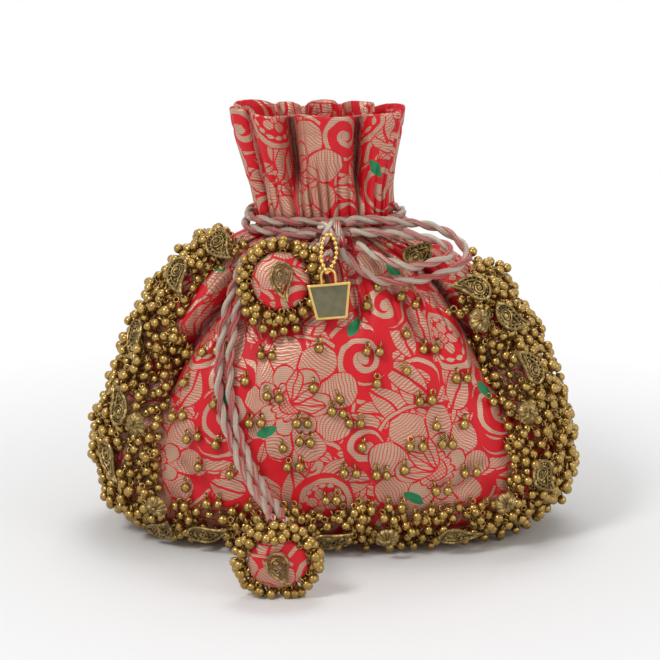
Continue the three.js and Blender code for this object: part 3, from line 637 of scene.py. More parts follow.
# the cloth's own coordinates in millimetres: across it, from the middle of the front, and up it
middle_column = column_near(BELLY, 0)
step_across = np.linalg.norm(np.roll(cloth, -1, axis=1) - cloth, axis=2)
whole_round = step_across.sum(axis=1)
cloth_width = whole_round[:60].max()
across = np.zeros((ROWS, COLUMNS + 1))
for r in range(ROWS):
    spare = cloth_width - whole_round[r] if levels[min(r, len(levels) - 1)] > BELLY else 0
    hidden = np.zeros(COLUMNS)
    for place, depth, *_ in deep_folds:
        d = away(columns + 0.5, place)
        hidden += depth * np.exp(-(d / 2.2) ** 2) / 2.2
    hidden /= hidden.sum()
    run = np.concatenate([[0], np.cumsum(step_across[r] + spare * hidden)])
    across[r] = run - run[middle_column]
up_cloth = np.zeros(ROWS)
middle_line = cloth[:, middle_column - 14:middle_column + 15].mean(axis=1)
up_cloth[1:] = np.cumsum(np.linalg.norm(np.diff(middle_line, axis=0), axis=1))


def cloth_piece(name, patches, node):
    """One cut panel of the cloth, with its own coordinates as its UV map."""
    made = bmesh.new()
    sheet_uv = made.loops.layers.uv.new("UVMap")
    in_fold = made.verts.layers.float.new("in_fold")
    for first_column, last_column, first_row, last_row in patches:
        grid = []
        for r in range(first_row, last_row + 1):
            grid.append([made.verts.new(cloth[r, c % COLUMNS] * MM)
                         for c in range(first_column, last_column + 1)])
            for c, vert in enumerate(grid[-1]):
                vert[in_fold] = fold_depth[r, (c + first_column) % COLUMNS]
        for r in range(len(grid) - 1):
            for c in range(last_column - first_column):
                face = made.faces.new((grid[r][c], grid[r][c + 1], grid[r + 1][c + 1], grid[r + 1][c]))
                face.smooth = True
                for loop, (i, j) in zip(face.loops, ((r, c), (r, c + 1), (r + 1, c + 1), (r + 1, c))):
                    row, column = i + first_row, j + first_column
                    turns, column = divmod(column, COLUMNS)
                    place = across[row, column] + turns * (across[row, -1] - across[row, 0])
                    loop[sheet_uv].uv = (place, up_cloth[row])
        if first_row == 0:
            under = made.faces.new(grid[0][COLUMNS - 1::-1])
            for loop in under.loops:
                loop[sheet_uv].uv = (loop.vert.co.x / MM, loop.vert.co.y / MM)
    bmesh.ops.remove_doubles(made, verts=made.verts, dist=1e-7)
    piece = piece_from(name, mesh_from(name, made))
    fitted(piece, node)
    return piece


seam_row = len(lower_rows) - 1
right_seam = FRONT_COLUMNS
back_start = FRONT_COLUMNS + SIDE_COLUMNS
left_start = back_start + BACK_COLUMNS
top_row = ROWS - 1
front_panel = cloth_piece("cloth_front_panel", [(0, right_seam, seam_row, top_row)], "front_panel")
back_panel = cloth_piece("cloth_back_panel", [(back_start, left_start, seam_row, top_row)], "back_panel")
gusset_patches = [(0, COLUMNS, 0, seam_row), (right_seam, back_start, seam_row, top_row),
                  (left_start, COLUMNS, seam_row, top_row)]
gusset = cloth_piece("cloth_gusset", gusset_patches, "gusset")

# Brocade weave, for every cut panel.
# Red satin ground with a flat metallic weft pattern: big lotus flowers, ring scrolls that hold a
# small flower, stems with leaves, curls, and a few green buds. It is woven, so it follows the cloth.
REPEAT_WIDE = 132.0
REPEAT_HIGH = 104.0
SATIN_RED = (0.80, 0.006, 0.018)
SATIN_DEEP = (0.56, 0.004, 0.013)
WEFT_PALE = (0.72, 0.52, 0.37)
WEFT_DARK = (0.36, 0.20, 0.13)
BUD_GREEN = (0.010, 0.16, 0.055)
flower_height = float(np.interp(72, levels, up_cloth[:len(levels)]))

brocade = Finish("brocade_weave")
layout = brocade.node("ShaderNodeUVMap", {"uv_map": "UVMap"}, {})
wander = brocade.node("ShaderNodeTexNoise", {}, {"Vector": layout, "Scale": 0.11, "Detail": 1}, 1)
wander = brocade.node("ShaderNodeVectorMath", {"operation": "MULTIPLY_ADD"}, [wander, (3, 3, 0), layout])
split = brocade.node("ShaderNodeSeparateXYZ", {}, [wander])
cloth_u = split - (1.5 - 20.0)
cloth_v = Wire(brocade, split.socket.node.outputs[1]) - (1.5 + flower_height)


def turned(place, degrees, flip=1):
    """Coordinates turned about their origin, and mirrored where flip is -1."""
    x, y = place
    c, s = math.cos(math.radians(degrees)), math.sin(math.radians(degrees))
    return (x * c + y * s) * flip, y * c - x * s


def motif_at(x, y, degrees=0, flip=1):
    """Coordinates about one motif of the repeat."""
    across = (cloth_u - x).math("WRAP", REPEAT_WIDE / 2, -REPEAT_WIDE / 2)
    up = (cloth_v - y).math("WRAP", REPEAT_HIGH / 2, -REPEAT_HIGH / 2)
    return turned((across, up), degrees, flip)


def span(x, y):
    flat = brocade.node("ShaderNodeCombineXYZ", {}, [x, y, 0.0])
    return brocade.node("ShaderNodeVectorMath", {"operation": "LENGTH"}, [flat], 1)


def stripes(value, pitch, share):
    return ((value * (1 / pitch)).math("FRACT") < share) * 0.76 + 0.24


def leaf(place, length, width):
    """How far outside a pointed leaf a place is, and how far from its middle vein."""
    x, y = place
    radius = (length * length + width * width) / (4 * width)
    off = radius - width / 2
    high, low = span(x, y - off), span(x, y + off)
    return high.math("MAXIMUM", low) - radius, (high - low).math("ABSOLUTE")


class Weft:
    """The metallic weft: each shape covers what lies under it and has a thin red outline."""

    def __init__(self):
        self.shown = None

    def cover(self, outside, fill, line=0.3):
        inside = outside < 0
        if self.shown is None:
            self.shown = inside * fill
        else:
            self.shown = self.shown + inside * (fill - self.shown)
        self.shown = self.shown * (outside.math("ABSOLUTE") > line)


hatch_right = stripes(cloth_u * 0.8 + cloth_v * 0.6, 1.45, 0.68)
hatch_left = stripes(cloth_u * 0.55 - cloth_v * 0.84, 1.45, 0.68)
hatch_level = stripes(cloth_v + cloth_u * 0.2, 1.35, 0.7)
mesh_fill = hatch_right * hatch_left
solid_fill = stripes(cloth_u + cloth_v * 0.3, 0.8, 0.86)
weft = Weft()

# curls that fill the ground between the motifs
for x, y, flip, wide, high in ((10, 8, 1, 44, 34.67), (32, 25, -1, 44, 34.67)):
    cx = (cloth_u - x).math("WRAP", wide / 2, -wide / 2) * flip
    cy = (cloth_v - y).math("WRAP", high / 2, -high / 2)
    distance = span(cx, cy)
    angle = cy.math("ARCTAN2", cx)
    swirl = (angle + distance.math("LOGARITHM", math.e) * 4.6).math("WRAP", math.pi, -math.pi).math("ABSOLUTE")
    stroke = swirl * distance / 4.7 - (1.75 - distance * 0.05)
    weft.cover(stroke.math("MAXIMUM", distance - 15), solid_fill, 0.2)

# small leaves scattered over the ground
for x, y, degrees in ((4, 3, 35), (15, 12, -40), (10, -5, 80)):
    cx = (cloth_u - x).math("WRAP", 11.0, -11.0)
    cy = (cloth_v - y).math("WRAP", 8.6667, -8.6667)
    outside, vein = leaf(turned((cx, cy), degrees), 11.5, 5.4)
    weft.cover(outside, hatch_level * (vein > 0.5), 0.3)

# leaves on stems round each flower
for x, y, flip in ((0, 0, 1), (66, -31, -1)):
    cx, cy = motif_at(x, y, 20 * flip, flip)
    distance = span(cx, cy)
    angle = cy.math("ARCTAN2", cx)
    part = (angle + distance * 0.012).math("WRAP", math.pi / 9, -math.pi / 9)
    outside, vein = leaf(turned((distance - 39, distance * part), 24), 21, 11)
    weft.cover(outside, hatch_level * (vein > 0.9))
    part = (angle + 0.35).math("WRAP", math.pi / 5, -math.pi / 5)
    outside, vein = leaf(turned((distance - 45, distance * part), -38), 23, 12)
    weft.cover(outside, hatch_left * (vein > 1.0))
    stem = (distance - 30.5 - (angle * 3).math("SINE") * 2.4).math("ABSOLUTE") - 1.0
    cut = (angle * 1.5 + 0.8).math("SINE") * -4
    weft.cover(stem.math("MAXIMUM", cut), solid_fill, 0.3)

# ring scrolls, each with a five-lobed flower
for x, y, flip in ((15, -45, 1), (81, 28, -1)):
    cx, cy = motif_at(x, y, 0, flip)
    distance = span(cx, cy)
    angle = cy.math("ARCTAN2", cx)
    weft.cover(distance - 14.2, 0.0, 0.1)
    coil = distance - 11.9 + angle * 0.9
    weft.cover(coil.math("ABSOLUTE") - 1.5, solid_fill, 0.25)
    lobes = (angle * 2.5).math("SINE").math("ABSOLUTE")
    weft.cover(distance - 4.0 - lobes * 3.4, hatch_right * (lobes * distance / 2.5 > 0.4))
    weft.cover(distance - 2.3, mesh_fill)
    rays = (angle * 7).math("SINE").math("ABSOLUTE")
    weft.cover((distance - 9.0 + angle * 0.5).math("ABSOLUTE") - rays * 1.2, 1.0, 0.15)

# curled tendrils
CURL_PITCH = 7.2
for x, y, flip, size in (
        (-34, -14, -1, 12), (33, 20, 1, 12), (-17, 38, 1, 11), (47, 44, -1, 11), (100, -6, 1, 12),
        (34, -20, -1, 9)):
    cx, cy = motif_at(x, y, 40 * flip, flip)
    distance = span(cx, cy)
    angle = cy.math("ARCTAN2", cx)
    weft.cover(distance - size - 1.4, 0.0, 0.1)
    curl = (distance * (2 * math.pi / CURL_PITCH) - angle).math("WRAP", math.pi, -math.pi).math("ABSOLUTE")
    stroke = curl * (CURL_PITCH / (2 * math.pi)) - 1.75 + distance * 0.05
    weft.cover(stroke.math("MAXIMUM", distance - size), solid_fill, 0.1)
    weft.cover(distance - 2.4, solid_fill, 0.1)

# lotus flowers: outer petals, a scalloped ring, a netted heart and pointed inner leaves
for x, y, flip in ((0, 0, 1), (66, -31, -1)):
    cx, cy = motif_at(x, y, 35 * flip, flip)
    distance = span(cx, cy)
    angle = cy.math("ARCTAN2", cx)
    petals = (angle * 4.5).math("SINE").math("ABSOLUTE")
    lean = (angle * 1.0).math("COSINE")
    reach = petals.math("POWER", 0.55) * 9.0 + 19.5 + lean * 3.5
    gap = petals * distance / 4.5
    ribs = stripes(distance + petals * 3.0, 1.5, 0.7)
    weft.cover(distance - reach, ribs * (gap > 0.5), 0.4)
    inner = (angle * 3.5 + 0.6).math("SINE").math("ABSOLUTE")
    reach = inner.math("POWER", 0.6) * 6.5 + 10.0 + lean * 2.4
    weft.cover(distance - reach, solid_fill * (inner * distance / 3.5 > 0.5), 0.4)
    scallops = (angle * 6).math("SINE").math("ABSOLUTE")
    weft.cover(distance - 7.6 - scallops * 1.6 - lean, hatch_left, 0.45)
    weft.cover(distance - 5.4 - lean, mesh_fill, 0.35)
    for degrees in (-38, 0, 38):
        sx, sy = turned((cx, cy), degrees)
        outside, vein = leaf((sx - 8.5, sy), 15, 6.5)
        weft.cover(outside, hatch_level * (vein > 0.6), 0.35)

# green buds beside the flowers
buds = None
for x, y, degrees in ((-10, -13, 25), (56, -44, -30), (30, 34, 50), (96, 3, -50)):
    outside, vein = leaf(motif_at(x, y, degrees), 10.5, 4.6)
    bud = outside < 0
    buds = bud if buds is None else buds.math("MAXIMUM", bud)

thread = brocade.noise(layout, 1.9, 2, 0.6)
broad = brocade.noise(layout, 0.05, 2)
satin_rows = (cloth_u * (2 * math.pi / 0.62)).math("SINE")
stitch_rows = (cloth_v * (2 * math.pi / 0.95)).math("SINE")
ground = brocade.mix(thread, SATIN_DEEP, SATIN_RED)
metal = brocade.mix(thread * 0.6 + broad * 0.5 + stitch_rows * 0.2 - 0.05, WEFT_DARK, WEFT_PALE)
colour = brocade.mix(weft.shown, ground, metal)
colour = brocade.mix(buds, colour, brocade.mix(thread, BUD_GREEN, (0.03, 0.30, 0.12)))
# painted shade: deep in the folds the colour is painted towards a near-black red and the weft loses its metal
shade = brocade.node("ShaderNodeAttribute", {"attribute_name": "in_fold"}, {}, 2)
colour = brocade.mix(shade * 0.75, colour, (0.07, 0.003, 0.006))
relief = weft.shown * (stitch_rows * 0.25 + 0.75) + satin_rows * 0.10 + thread * 0.35
brocade_finish = brocade.surface(
    Base_Color=colour,
    Metallic=weft.shown * 0.4 * (1 - shade),
    Roughness=weft.shown * -0.14 + thread * 0.12 + 0.44,
    Normal=brocade.bump(relief, 0.16 * MM, 0.7),
    Specular_IOR_Level=0.35,
)
for piece in (front_panel, back_panel, gusset):
    put_on(piece, brocade_finish)

# Ghungroo bells: side and base trims, and the single bells over the front.
# Small hollow brass bells with an antique gold finish, each with its own wire loop. They are sewn
# thickly over the gusset and the base, and in ones and twos over the front panel.
BELL_RADIUS = 2.3
LOOP_RADIUS = 1.4
LOOP_WIRE = 0.5
TRIM_TOP_LEFT = 135.0
TRIM_TOP_RIGHT = 120.0
TRIM_BASE_TOP = 24.0
PLATE_REACH = 7.2
ANYWHERE = 99.0

shape = bmesh.new()
bmesh.ops.create_icosphere(shape, subdivisions=2, radius=BELL_RADIUS)
bmesh.ops.scale(shape, vec=(1, 1, 1.06), verts=shape.verts)
ring = bmesh.ops.create_circle(shape, segments=4, radius=LOOP_WIRE, cap_ends=False)["verts"]
bmesh.ops.rotate(shape, verts=ring, cent=(0, 0, 0), matrix=Matrix.Rotation(math.pi / 2, 3, "X"))
bmesh.ops.translate(shape, verts=ring, vec=(LOOP_RADIUS, 0, 0))
rim = list({e for v in ring for e in v.link_edges})
bmesh.ops.spin(shape, geom=ring + rim, axis=(0, 0, 1), cent=(0, 0, 0), steps=6, angle=2 * math.pi,
               use_merge=True, use_duplicate=False)
loop_verts = [v for v in shape.verts if math.hypot(v.co.x, v.co.y) < LOOP_RADIUS + LOOP_WIRE + 0.05
              and abs(v.co.z) < LOOP_WIRE + 0.05]
bmesh.ops.rotate(shape, verts=loop_verts, cent=(0, 0, 0), matrix=Matrix.Rotation(math.pi / 2, 3, "X"))
bmesh.ops.translate(shape, verts=loop_verts, vec=(0, 0, BELL_RADIUS + LOOP_RADIUS - 0.15))
bmesh.ops.recalc_face_normals(shape, faces=shape.faces)
bmesh.ops.scale(shape, vec=(MM, MM, MM), verts=shape.verts)
bell = mesh_from("bell", shape)

along_row = np.roll(cloth, -1, axis=1) - np.roll(cloth, 1, axis=1)
up_row = np.gradient(cloth, axis=0)
cloth_out = np.cross(along_row, up_row)
cloth_out /= np.linalg.norm(cloth_out, axis=2)[:, :, None] + 1e-9


def thrown(rows, picked_columns, keep, gap, lift, against, seed, held=ANYWHERE, beside_plates=True):
    """Bell centres thrown over a part of the cloth, no two nearer than gap, each within held of another."""
    chance = np.random.default_rng(seed)
    grid_r, grid_c = np.meshgrid(rows, picked_columns, indexing="ij")
    grid_r, grid_c = grid_r.ravel(), grid_c.ravel() % COLUMNS
    order = chance.permutation(len(grid_r))
    taken = list(against)
    fresh = []
    for i in order:
        r, c = grid_r[i], grid_c[i]
        base = cloth[r, c]
        if not keep(base, c):
            continue
        out = cloth_out[r, c]
        centre = base + out * lift + chance.normal(0, 0.35, 3)
        if beside_plates and not off_plates(centre):
            continue
        centre[2] = max(centre[2], BELL_RADIUS + 0.1)
        if taken:
            near = np.array(taken) - centre
            nearest = (near * near).sum(axis=1).min()
            if nearest < gap * gap or nearest > held * held:
                continue
        taken.append(centre)
        fresh.append((centre, out, base))
    return fresh


def bells_at(name, places, seed, node=None, loops_to=False):
    """One piece of many bells: each place is a centre, the way out of the cloth, and the way in."""
    chance = random.Random(seed)
    whole = bmesh.new()
    for centre, out, base in places:
        out = Vector(out)
        up = Vector((chance.gauss(0, 0.55), chance.gauss(0, 0.4), 0.75 + chance.gauss(0, 0.35)))
        if loops_to:
            up = Vector(base) * 0.8 + up * 0.5
        up = (up - out * (out.dot(up) + chance.uniform(0.0, 0.7))).normalized()
        turn = up.to_track_quat("Z", "Y").to_matrix() @ Matrix.Rotation(chance.uniform(0, 6.28), 3, "Z")
        size = chance.uniform(0.9, 1.05)
        one = bell.copy()
        one.transform(Matrix.Translation(Vector(centre) * MM) @ turn.to_4x4() @ Matrix.Scale(size, 4))
        whole.from_mesh(one)
        bpy.data.meshes.remove(one)
    data = mesh_from(name, whole)
    data.shade_smooth()
    piece = piece_from(name, data)
    put_on(piece, bell_finish)
    fitted(piece, node)
    return piece


brass = Finish("antique_bells")
where = brass.node("ShaderNodeTexCoord", {}, {}, 3)
tone = brass.noise(where, 170, 2)
stain = brass.noise(where, 900, 3, 0.7)
tarnish = brass.node("ShaderNodeMapRange", {}, {"Value": stain, "From Min": 0.5, "From Max": 0.72})
gold = brass.mix(tone, (0.27, 0.16, 0.04), (0.56, 0.37, 0.115))
gold = brass.mix(tarnish * 0.75, gold, (0.10, 0.05, 0.012))
bell_finish = brass.surface(
    Base_Color=gold,
    Metallic=0.92,
    Roughness=tarnish * 0.3 + 0.24,
    Normal=brass.bump(stain, 0.08 * MM, 0.5),
)


def clear_of(points, reach):
    """A test that keeps bells off the plates and studs."""
    points = np.array(points)

    def test(p):
        return ((points - p) ** 2).sum(axis=1).min() > reach * reach
    return test


def edge_wobble(p):
    return 3.5 * noise.noise(Vector((p[0] * 0.06, p[1] * 0.06, p[2] * 0.06 + 9)))


side_rows = [r for r in range(seam_row - 2, len(levels)) if 17 < levels[r] < 138]
base_rows = [r for r in range(0, len(levels)) if levels[r] < 31]


def on_left(p, c):
    return p[2] < TRIM_TOP_LEFT + edge_wobble(p)


def on_right(p, c):
    return p[2] < TRIM_TOP_RIGHT + edge_wobble(p)


def on_base(p, c):
    return p[2] < TRIM_BASE_TOP + edge_wobble(p)


sewn_spots = []
for node in [f"paisley_plate_{n:02d}" for n in range(1, 15)] + [f"shell_stud_{n}" for n in range(1, 7)]:
    low, high = (np.array(c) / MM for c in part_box(node))
    sewn_spots.append((low + high) / 2)
off_plates = clear_of(sewn_spots, PLATE_REACH)
trim_bells = {}
for name, first, last, keep, seed in (
        ("left", left_start - 3, COLUMNS + 9, on_left, 3),
        ("right", right_seam - 9, back_start + 3, on_right, 5)):
    band = list(range(first, last))
    under = thrown(side_rows, band, keep, 4.75, 2.5, [], seed)
    centres = [p[0] for p in under]
    over = thrown(side_rows, band, keep, 4.6, 5.8, centres, seed + 1)
    centres += [p[0] for p in over]
    proud = thrown(side_rows, band, keep, 4.5, 8.6, centres, seed + 2, held=5.0)
    trim_bells[name] = under + over + proud[::2]
sides = [p[0] for p in trim_bells["left"] + trim_bells["right"]]
under = thrown(base_rows, list(range(COLUMNS)), on_base, 4.75, 2.5, sides, 7)
over = thrown(base_rows, list(range(COLUMNS)), on_base, 4.7, 5.6, sides + [p[0] for p in under], 8)
# the lowest rows take what still fits there, which the spacing keeps to a single bell
low_bells = thrown([0, 1, 2], list(range(COLUMNS)), on_base, 4.6, 3.4, sides + [p[0] for p in under + over], 9,
                   beside_plates=False)
bells_at("bells_left", trim_bells["left"], 13, "bell_trim_left")
bells_at("bells_right", trim_bells["right"], 14, "bell_trim_right")
bells_at("bells_base", under + over + low_bells, 15, "bell_trim_base")

FRONT_BELLS = [
    (268, 350), (318, 345), (340, 390), (430, 345), (375, 350), (405, 330), (275, 392), (215, 402), (303, 415),
    (355, 415), (404, 367), (313, 385), (461, 372), (377, 377), (337, 405), (305, 437), (283, 440), (362, 440),
    (415, 440), (463, 420), (446, 440), (403, 465), (380, 470), (350, 465), (330, 495), (345, 512), (395, 500),
    (400, 520), (295, 460), (258, 470), (217, 440), (194, 430), (213, 500), (240, 515), (256, 418), (187, 380),
    (187, 480), (468, 465), (505, 440), (512, 480), (440, 480), (490, 400), (480, 345), (450, 312), (420, 300),
    (370, 300), (375, 283), (402, 290), (225, 345), (245, 375), (232, 470), (290, 500), (425, 395), (435, 420),
    (365, 500), (430, 510), (470, 500), (200, 460), (180, 410), (205, 350),
]
ahead = Vector((0, math.cos(CAMERA_RISE), -math.sin(CAMERA_RISE)))
above = Vector((0, math.sin(CAMERA_RISE), math.cos(CAMERA_RISE)))
front_cloth = cloth[seam_row:80, 4:FRONT_COLUMNS - 4]
front_out = cloth_out[seam_row:80, 4:FRONT_COLUMNS - 4]
seen_from = front_cloth - np.array(camera.location) / MM
depth = seen_from @ np.array(ahead)
view_x = PICTURE / 2 + FOCAL_PIXELS * seen_from[:, :, 0] / depth
view_y = PICTURE / 2 - FOCAL_PIXELS * (seen_from @ np.array(above)) / depth
chance = random.Random(21)
front_places = []
for x, y in FRONT_BELLS:
    r, c = np.unravel_index(np.argmin((view_x - x) ** 2 + (view_y - y) ** 2), view_x.shape)
    point, out = front_cloth[r, c], front_out[r, c]
    for side in ((0,), (-2.6, 2.4))[chance.random() < 0.5]:
        drop = np.array((side + chance.uniform(-0.5, 0.5), 0, -2.5 + chance.uniform(-0.6, 0.6)))
        centre = point + out * 2.7 + drop
        front_places.append((centre, out, (0, 0, 1.6)))
bells_at("bells_front", front_places, 16, loops_to=True)

# Paisley plates: fourteen on the gusset and one on each tassel.
# Stamped and wired filigree in dark antique brass: a thin plate, a rope-like border, a row of
# grains, a scroll and a dome. Each is sewn flat to the cloth; the tassels' two have no plate behind.
PAISLEY_LONG = 19.0
PAISLEY_WIDE = 12.5

dark_brass = Finish("antique_motifs")
where = dark_brass.node("ShaderNodeTexCoord", {}, {}, 3)
wear = dark_brass.noise(where, 420, 3, 0.65)
rubbed = dark_brass.node("ShaderNodeMapRange", {}, {"Value": wear, "From Min": 0.48, "From Max": 0.66})
motif_colour = dark_brass.mix(rubbed, (0.19, 0.125, 0.045), (0.62, 0.43, 0.16))
motif_finish = dark_brass.surface(
    Base_Color=motif_colour,
    Metallic=0.85,
    Roughness=rubbed * -0.18 + 0.5,
    Normal=dark_brass.bump(wear, 0.05 * MM, 0.4),
)


def paisley_line(scale, height, count=56, shift=0.0):
    turn = np.linspace(0, 2 * math.pi, count, endpoint=False)
    x = 0.5 * PAISLEY_LONG * scale * np.cos(turn) + shift
    y = 0.5 * PAISLEY_WIDE * scale * np.sin(turn) * np.abs(np.sin(turn / 2)) ** 1.1 * 1.12
    y = y + 0.055 * np.clip(x + 1, 0, 99) ** 2 * 0.9
    return np.column_stack([x, y, np.full(count, height)]) * MM


def ball_mesh(place, radius, fine=1, squash=1.0):
    shape = bmesh.new()
    bmesh.ops.create_icosphere(shape, subdivisions=fine, radius=radius)
    bmesh.ops.scale(shape, vec=(1, 1, squash), verts=shape.verts)
    bmesh.ops.translate(shape, vec=place, verts=shape.verts)
    return mesh_from("ball", shape)


def paisley_meshes(backed):
    """The filigree; on the tassels it is open and has no plate behind it."""
    made = []
    shape = bmesh.new()
    face = shape.faces.new([shape.verts.new(p) for p in paisley_line(0.98, 0.0)])
    grown = bmesh.ops.extrude_face_region(shape, geom=[face])["geom"]
    bmesh.ops.translate(shape, vec=(0, 0, 0.5 * MM),
                        verts=[v for v in grown if isinstance(v, bmesh.types.BMVert)])
    bmesh.ops.recalc_face_normals(shape, faces=shape.faces)
    plate = mesh_from("plate", shape)
    if backed:
        made.append(plate)
    made.append(tube_mesh(paisley_line(1.0, 1.0), 0.75 * MM, 1, True))
    made.append(tube_mesh(paisley_line(0.62, 0.9, shift=-0.9), 0.45 * MM, 1, True))
    for p in paisley_line(0.81, 0.8, 22, -0.45):
        made.append(ball_mesh(p, (0.62 if backed else 0.45) * MM))
    turn = np.linspace(0.4, 4.4 * math.pi, 46)
    reach = 0.35 + 0.22 * turn
    scroll = np.column_stack([-3.6 + reach * np.cos(turn), -0.2 + reach * np.sin(turn), np.full(46, 1.0)])
    made.append(tube_mesh(scroll * MM, 0.42 * MM, 1))
    made.append(ball_mesh(Vector((-3.6, -0.2, 1.0)) * MM, 0.95 * MM, 2))
    for t in (1.5, 3.3, 4.9):
        made.append(ball_mesh(Vector((t, 0.04 * t * t, 0.9)) * MM, (0.95 - 0.1 * t) * MM, 2, 0.8))
    return made


def template(name, meshes):
    piece = joined(name, meshes)
    mesh = piece.data
    bpy.data.objects.remove(piece)
    return mesh


paisley = template("paisley", paisley_meshes(True))
open_paisley = template("open_paisley", paisley_meshes(False))


def seat_of(node):
    """Where a sewn-on node lies: its middle, its long way towards the tip, and its way out."""
    mesh = bpy.data.objects[node].data
    size = len(mesh.vertices)
    co = np.empty(size * 3)
    mesh.vertices.foreach_get("co", co)
    co = co.reshape(-1, 3)
    centre = co.mean(axis=0)
    turned_to = np.linalg.eigh(np.cov((co - centre).T))[1]
    out, long_way = turned_to[:, 0], turned_to[:, 2]
    if np.dot(out, centre - np.array((0, 0, 0.07))) < 0:
        out = -out
    along = (co - centre) @ long_way
    areas = np.array([p.area for p in mesh.polygons])
    middles = np.array([p.center for p in mesh.polygons])
    heavy = ((middles - centre) @ long_way * areas).sum() / areas.sum()
    if (along.max() + along.min()) / 2 < heavy:
        long_way = -long_way
    side = np.cross(out, long_way)
    lows = [((co - centre) @ axis).min() for axis in (long_way, side, out)]
    highs = [((co - centre) @ axis).max() for axis in (long_way, side, out)]
    middle = centre + sum(a * (l + h) / 2 for a, l, h in zip((long_way, side), lows, highs)) + out * lows[2]
    return Matrix((long_way, side, out)).transposed(), Vector(middle)


def sewn_on(name, mesh, node, scale=1.0, proud=0.0):
    """A filigree piece laid on its node's seat, raised by proud millimetres."""
    turn, place = seat_of(node)
    place = place + turn.col[2] * proud * MM
    one = mesh.copy()
    one.name = name
    one.transform(Matrix.Translation(place) @ turn.to_4x4() @ Matrix.Scale(scale, 4))
    piece = piece_from(name, one)
    put_on(piece, motif_finish)
    fitted(piece, node)
    return piece


for number in range(1, 15):
    sewn_on(f"filigree_paisley_{number:02d}", paisley, f"paisley_plate_{number:02d}", proud=1.2)

# Shell studs: six ribbed domes of the same dark antique brass.
# Pressed from thin sheet with radial ribs and a small boss, and sewn on among the bells.
STUD_RADIUS = 5.25
STUD_HIGH = 3.2
STUD_RIBS = 12
shape = bmesh.new()
bmesh.ops.create_uvsphere(shape, u_segments=STUD_RIBS * 6, v_segments=14, radius=1)
bmesh.ops.bisect_plane(shape, geom=shape.verts[:] + shape.edges[:] + shape.faces[:], plane_co=(0, 0, 0),
                       plane_no=(0, 0, -1), clear_outer=True)
bmesh.ops.holes_fill(shape, edges=[e for e in shape.edges if e.is_boundary], sides=0)
for v in shape.verts:
    turn = math.atan2(v.co.y, v.co.x)
    reach = math.hypot(v.co.x, v.co.y)
    rib = 0.84 + 0.3 * abs(math.cos(turn * STUD_RIBS / 2)) * min(1, reach * 2.5)
    v.co = Vector((v.co.x * STUD_RADIUS * (1 + 0.3 * (rib - 1)), v.co.y * STUD_RADIUS * (1 + 0.3 * (rib - 1)),
                   v.co.z * STUD_HIGH * rib)) * MM
bmesh.ops.recalc_face_normals(shape, faces=shape.faces)
stud = template("stud", [mesh_from("dome", shape), ball_mesh(Vector((0, 0, STUD_HIGH)) * MM, 0.9 * MM, 2)])
for number in range(1, 7):
    sewn_on(f"ribbed_stud_{number}", stud, f"shell_stud_{number}", proud=2.0)

# Drawcord round the neck, with its knot.
# The cord goes twice round the neck of the bag in the casing folds and is knotted in front, where
# the handle loops, the tassel cords and the chain come out of it.


def neck_turn(name, wide, deep, middle, level, node):
    turn = np.linspace(0, 2 * math.pi, 60, endpoint=False)
    points = []
    for t in turn:
        c, s = math.cos(t), math.sin(t)
        x = middle + wide * math.copysign(abs(c) ** (2 / OVAL_EXPONENT), c)
        y = deep * math.copysign(abs(s) ** (2 / OVAL_EXPONENT), s)
        points.append((x, y, level + 0.35 * math.sin(3 * t)))
    route = smooth_route(points, ROPE_STEP, True)
    piece = rope(name, route, 0.5)
    put_on(piece, cord_finish)
    fitted(piece, node)


neck_turn("neck_cord_low", 36.1, 22.6, -4.0, 144.2, "neck_cord_lower")
neck_turn("neck_cord_high", 34.8, 22.0, -3.95, 148.8, "neck_cord_upper")

knot_turns = []
for x, slant, high, deep in ((-3.2, 1.6, 4.9, 3.2), (2.3, -1.3, 4.7, 3.2)):
    points = []
    for t in np.linspace(0, 2 * math.pi, 16, endpoint=False):
        points.append((-0.2 + x + slant * math.sin(t), -30.4 - deep * math.cos(t), 145.5 + high * math.sin(t)))
    knot_turns.append(rope("turn", smooth_route(points, ROPE_STEP, True), x))
crossing = [(-6.4, -28.8, 148.6), (-3.5, -31.6, 149.4), (0.2, -33.0, 146.2), (2.8, -32.6, 142.6),
            (4.6, -29.6, 141)]
knot_turns.append(rope("turn", smooth_route(crossing, ROPE_STEP), 1.0))


def merged(name, pieces):
    meshes = [p.data for p in pieces]
    for p in pieces:
        bpy.data.objects.remove(p)
    return joined(name, meshes)


knot = merged("knot_turns", knot_turns)
put_on(knot, cord_finish)
fitted(knot, "knot")

SHORT_CORD_LEFT = [(-6.2, -34, 141.4), (-8, -34.8, 140.4), (-10.4, -36.4, 139)]
SHORT_CORD_RIGHT = [(-1.4, -35, 138), (-4, -37.2, 136.4), (-6.4, -39.4, 134.4)]
laid_cord("short_tassel_cord_a", SHORT_CORD_LEFT, "short_tassel_cord_left", 0.0)
laid_cord("short_tassel_cord_b", SHORT_CORD_RIGHT, "short_tassel_cord_right", 1.0)

# Tassels: one close under the knot, one on the long cords.
# Each is a brocade-covered button, softly padded, edged with bells sewn through the rim, with a
# small filigree paisley in its middle.
PAD_RADIUS = 13.0
PAD_THICK = 9.0
TASSELS = {
    "short": (((0.976, -0.0619, -0.2089), (0.2175, 0.22, 0.951), (-0.013, -0.9735, 0.2282)),
              (-23.43, -34.64, 124.94)),
    "long": (((1, 0, 0), (0, -0.2588, 0.9659), (0, -0.9659, -0.2588)), (-24.2, -98, 18.69)),
}


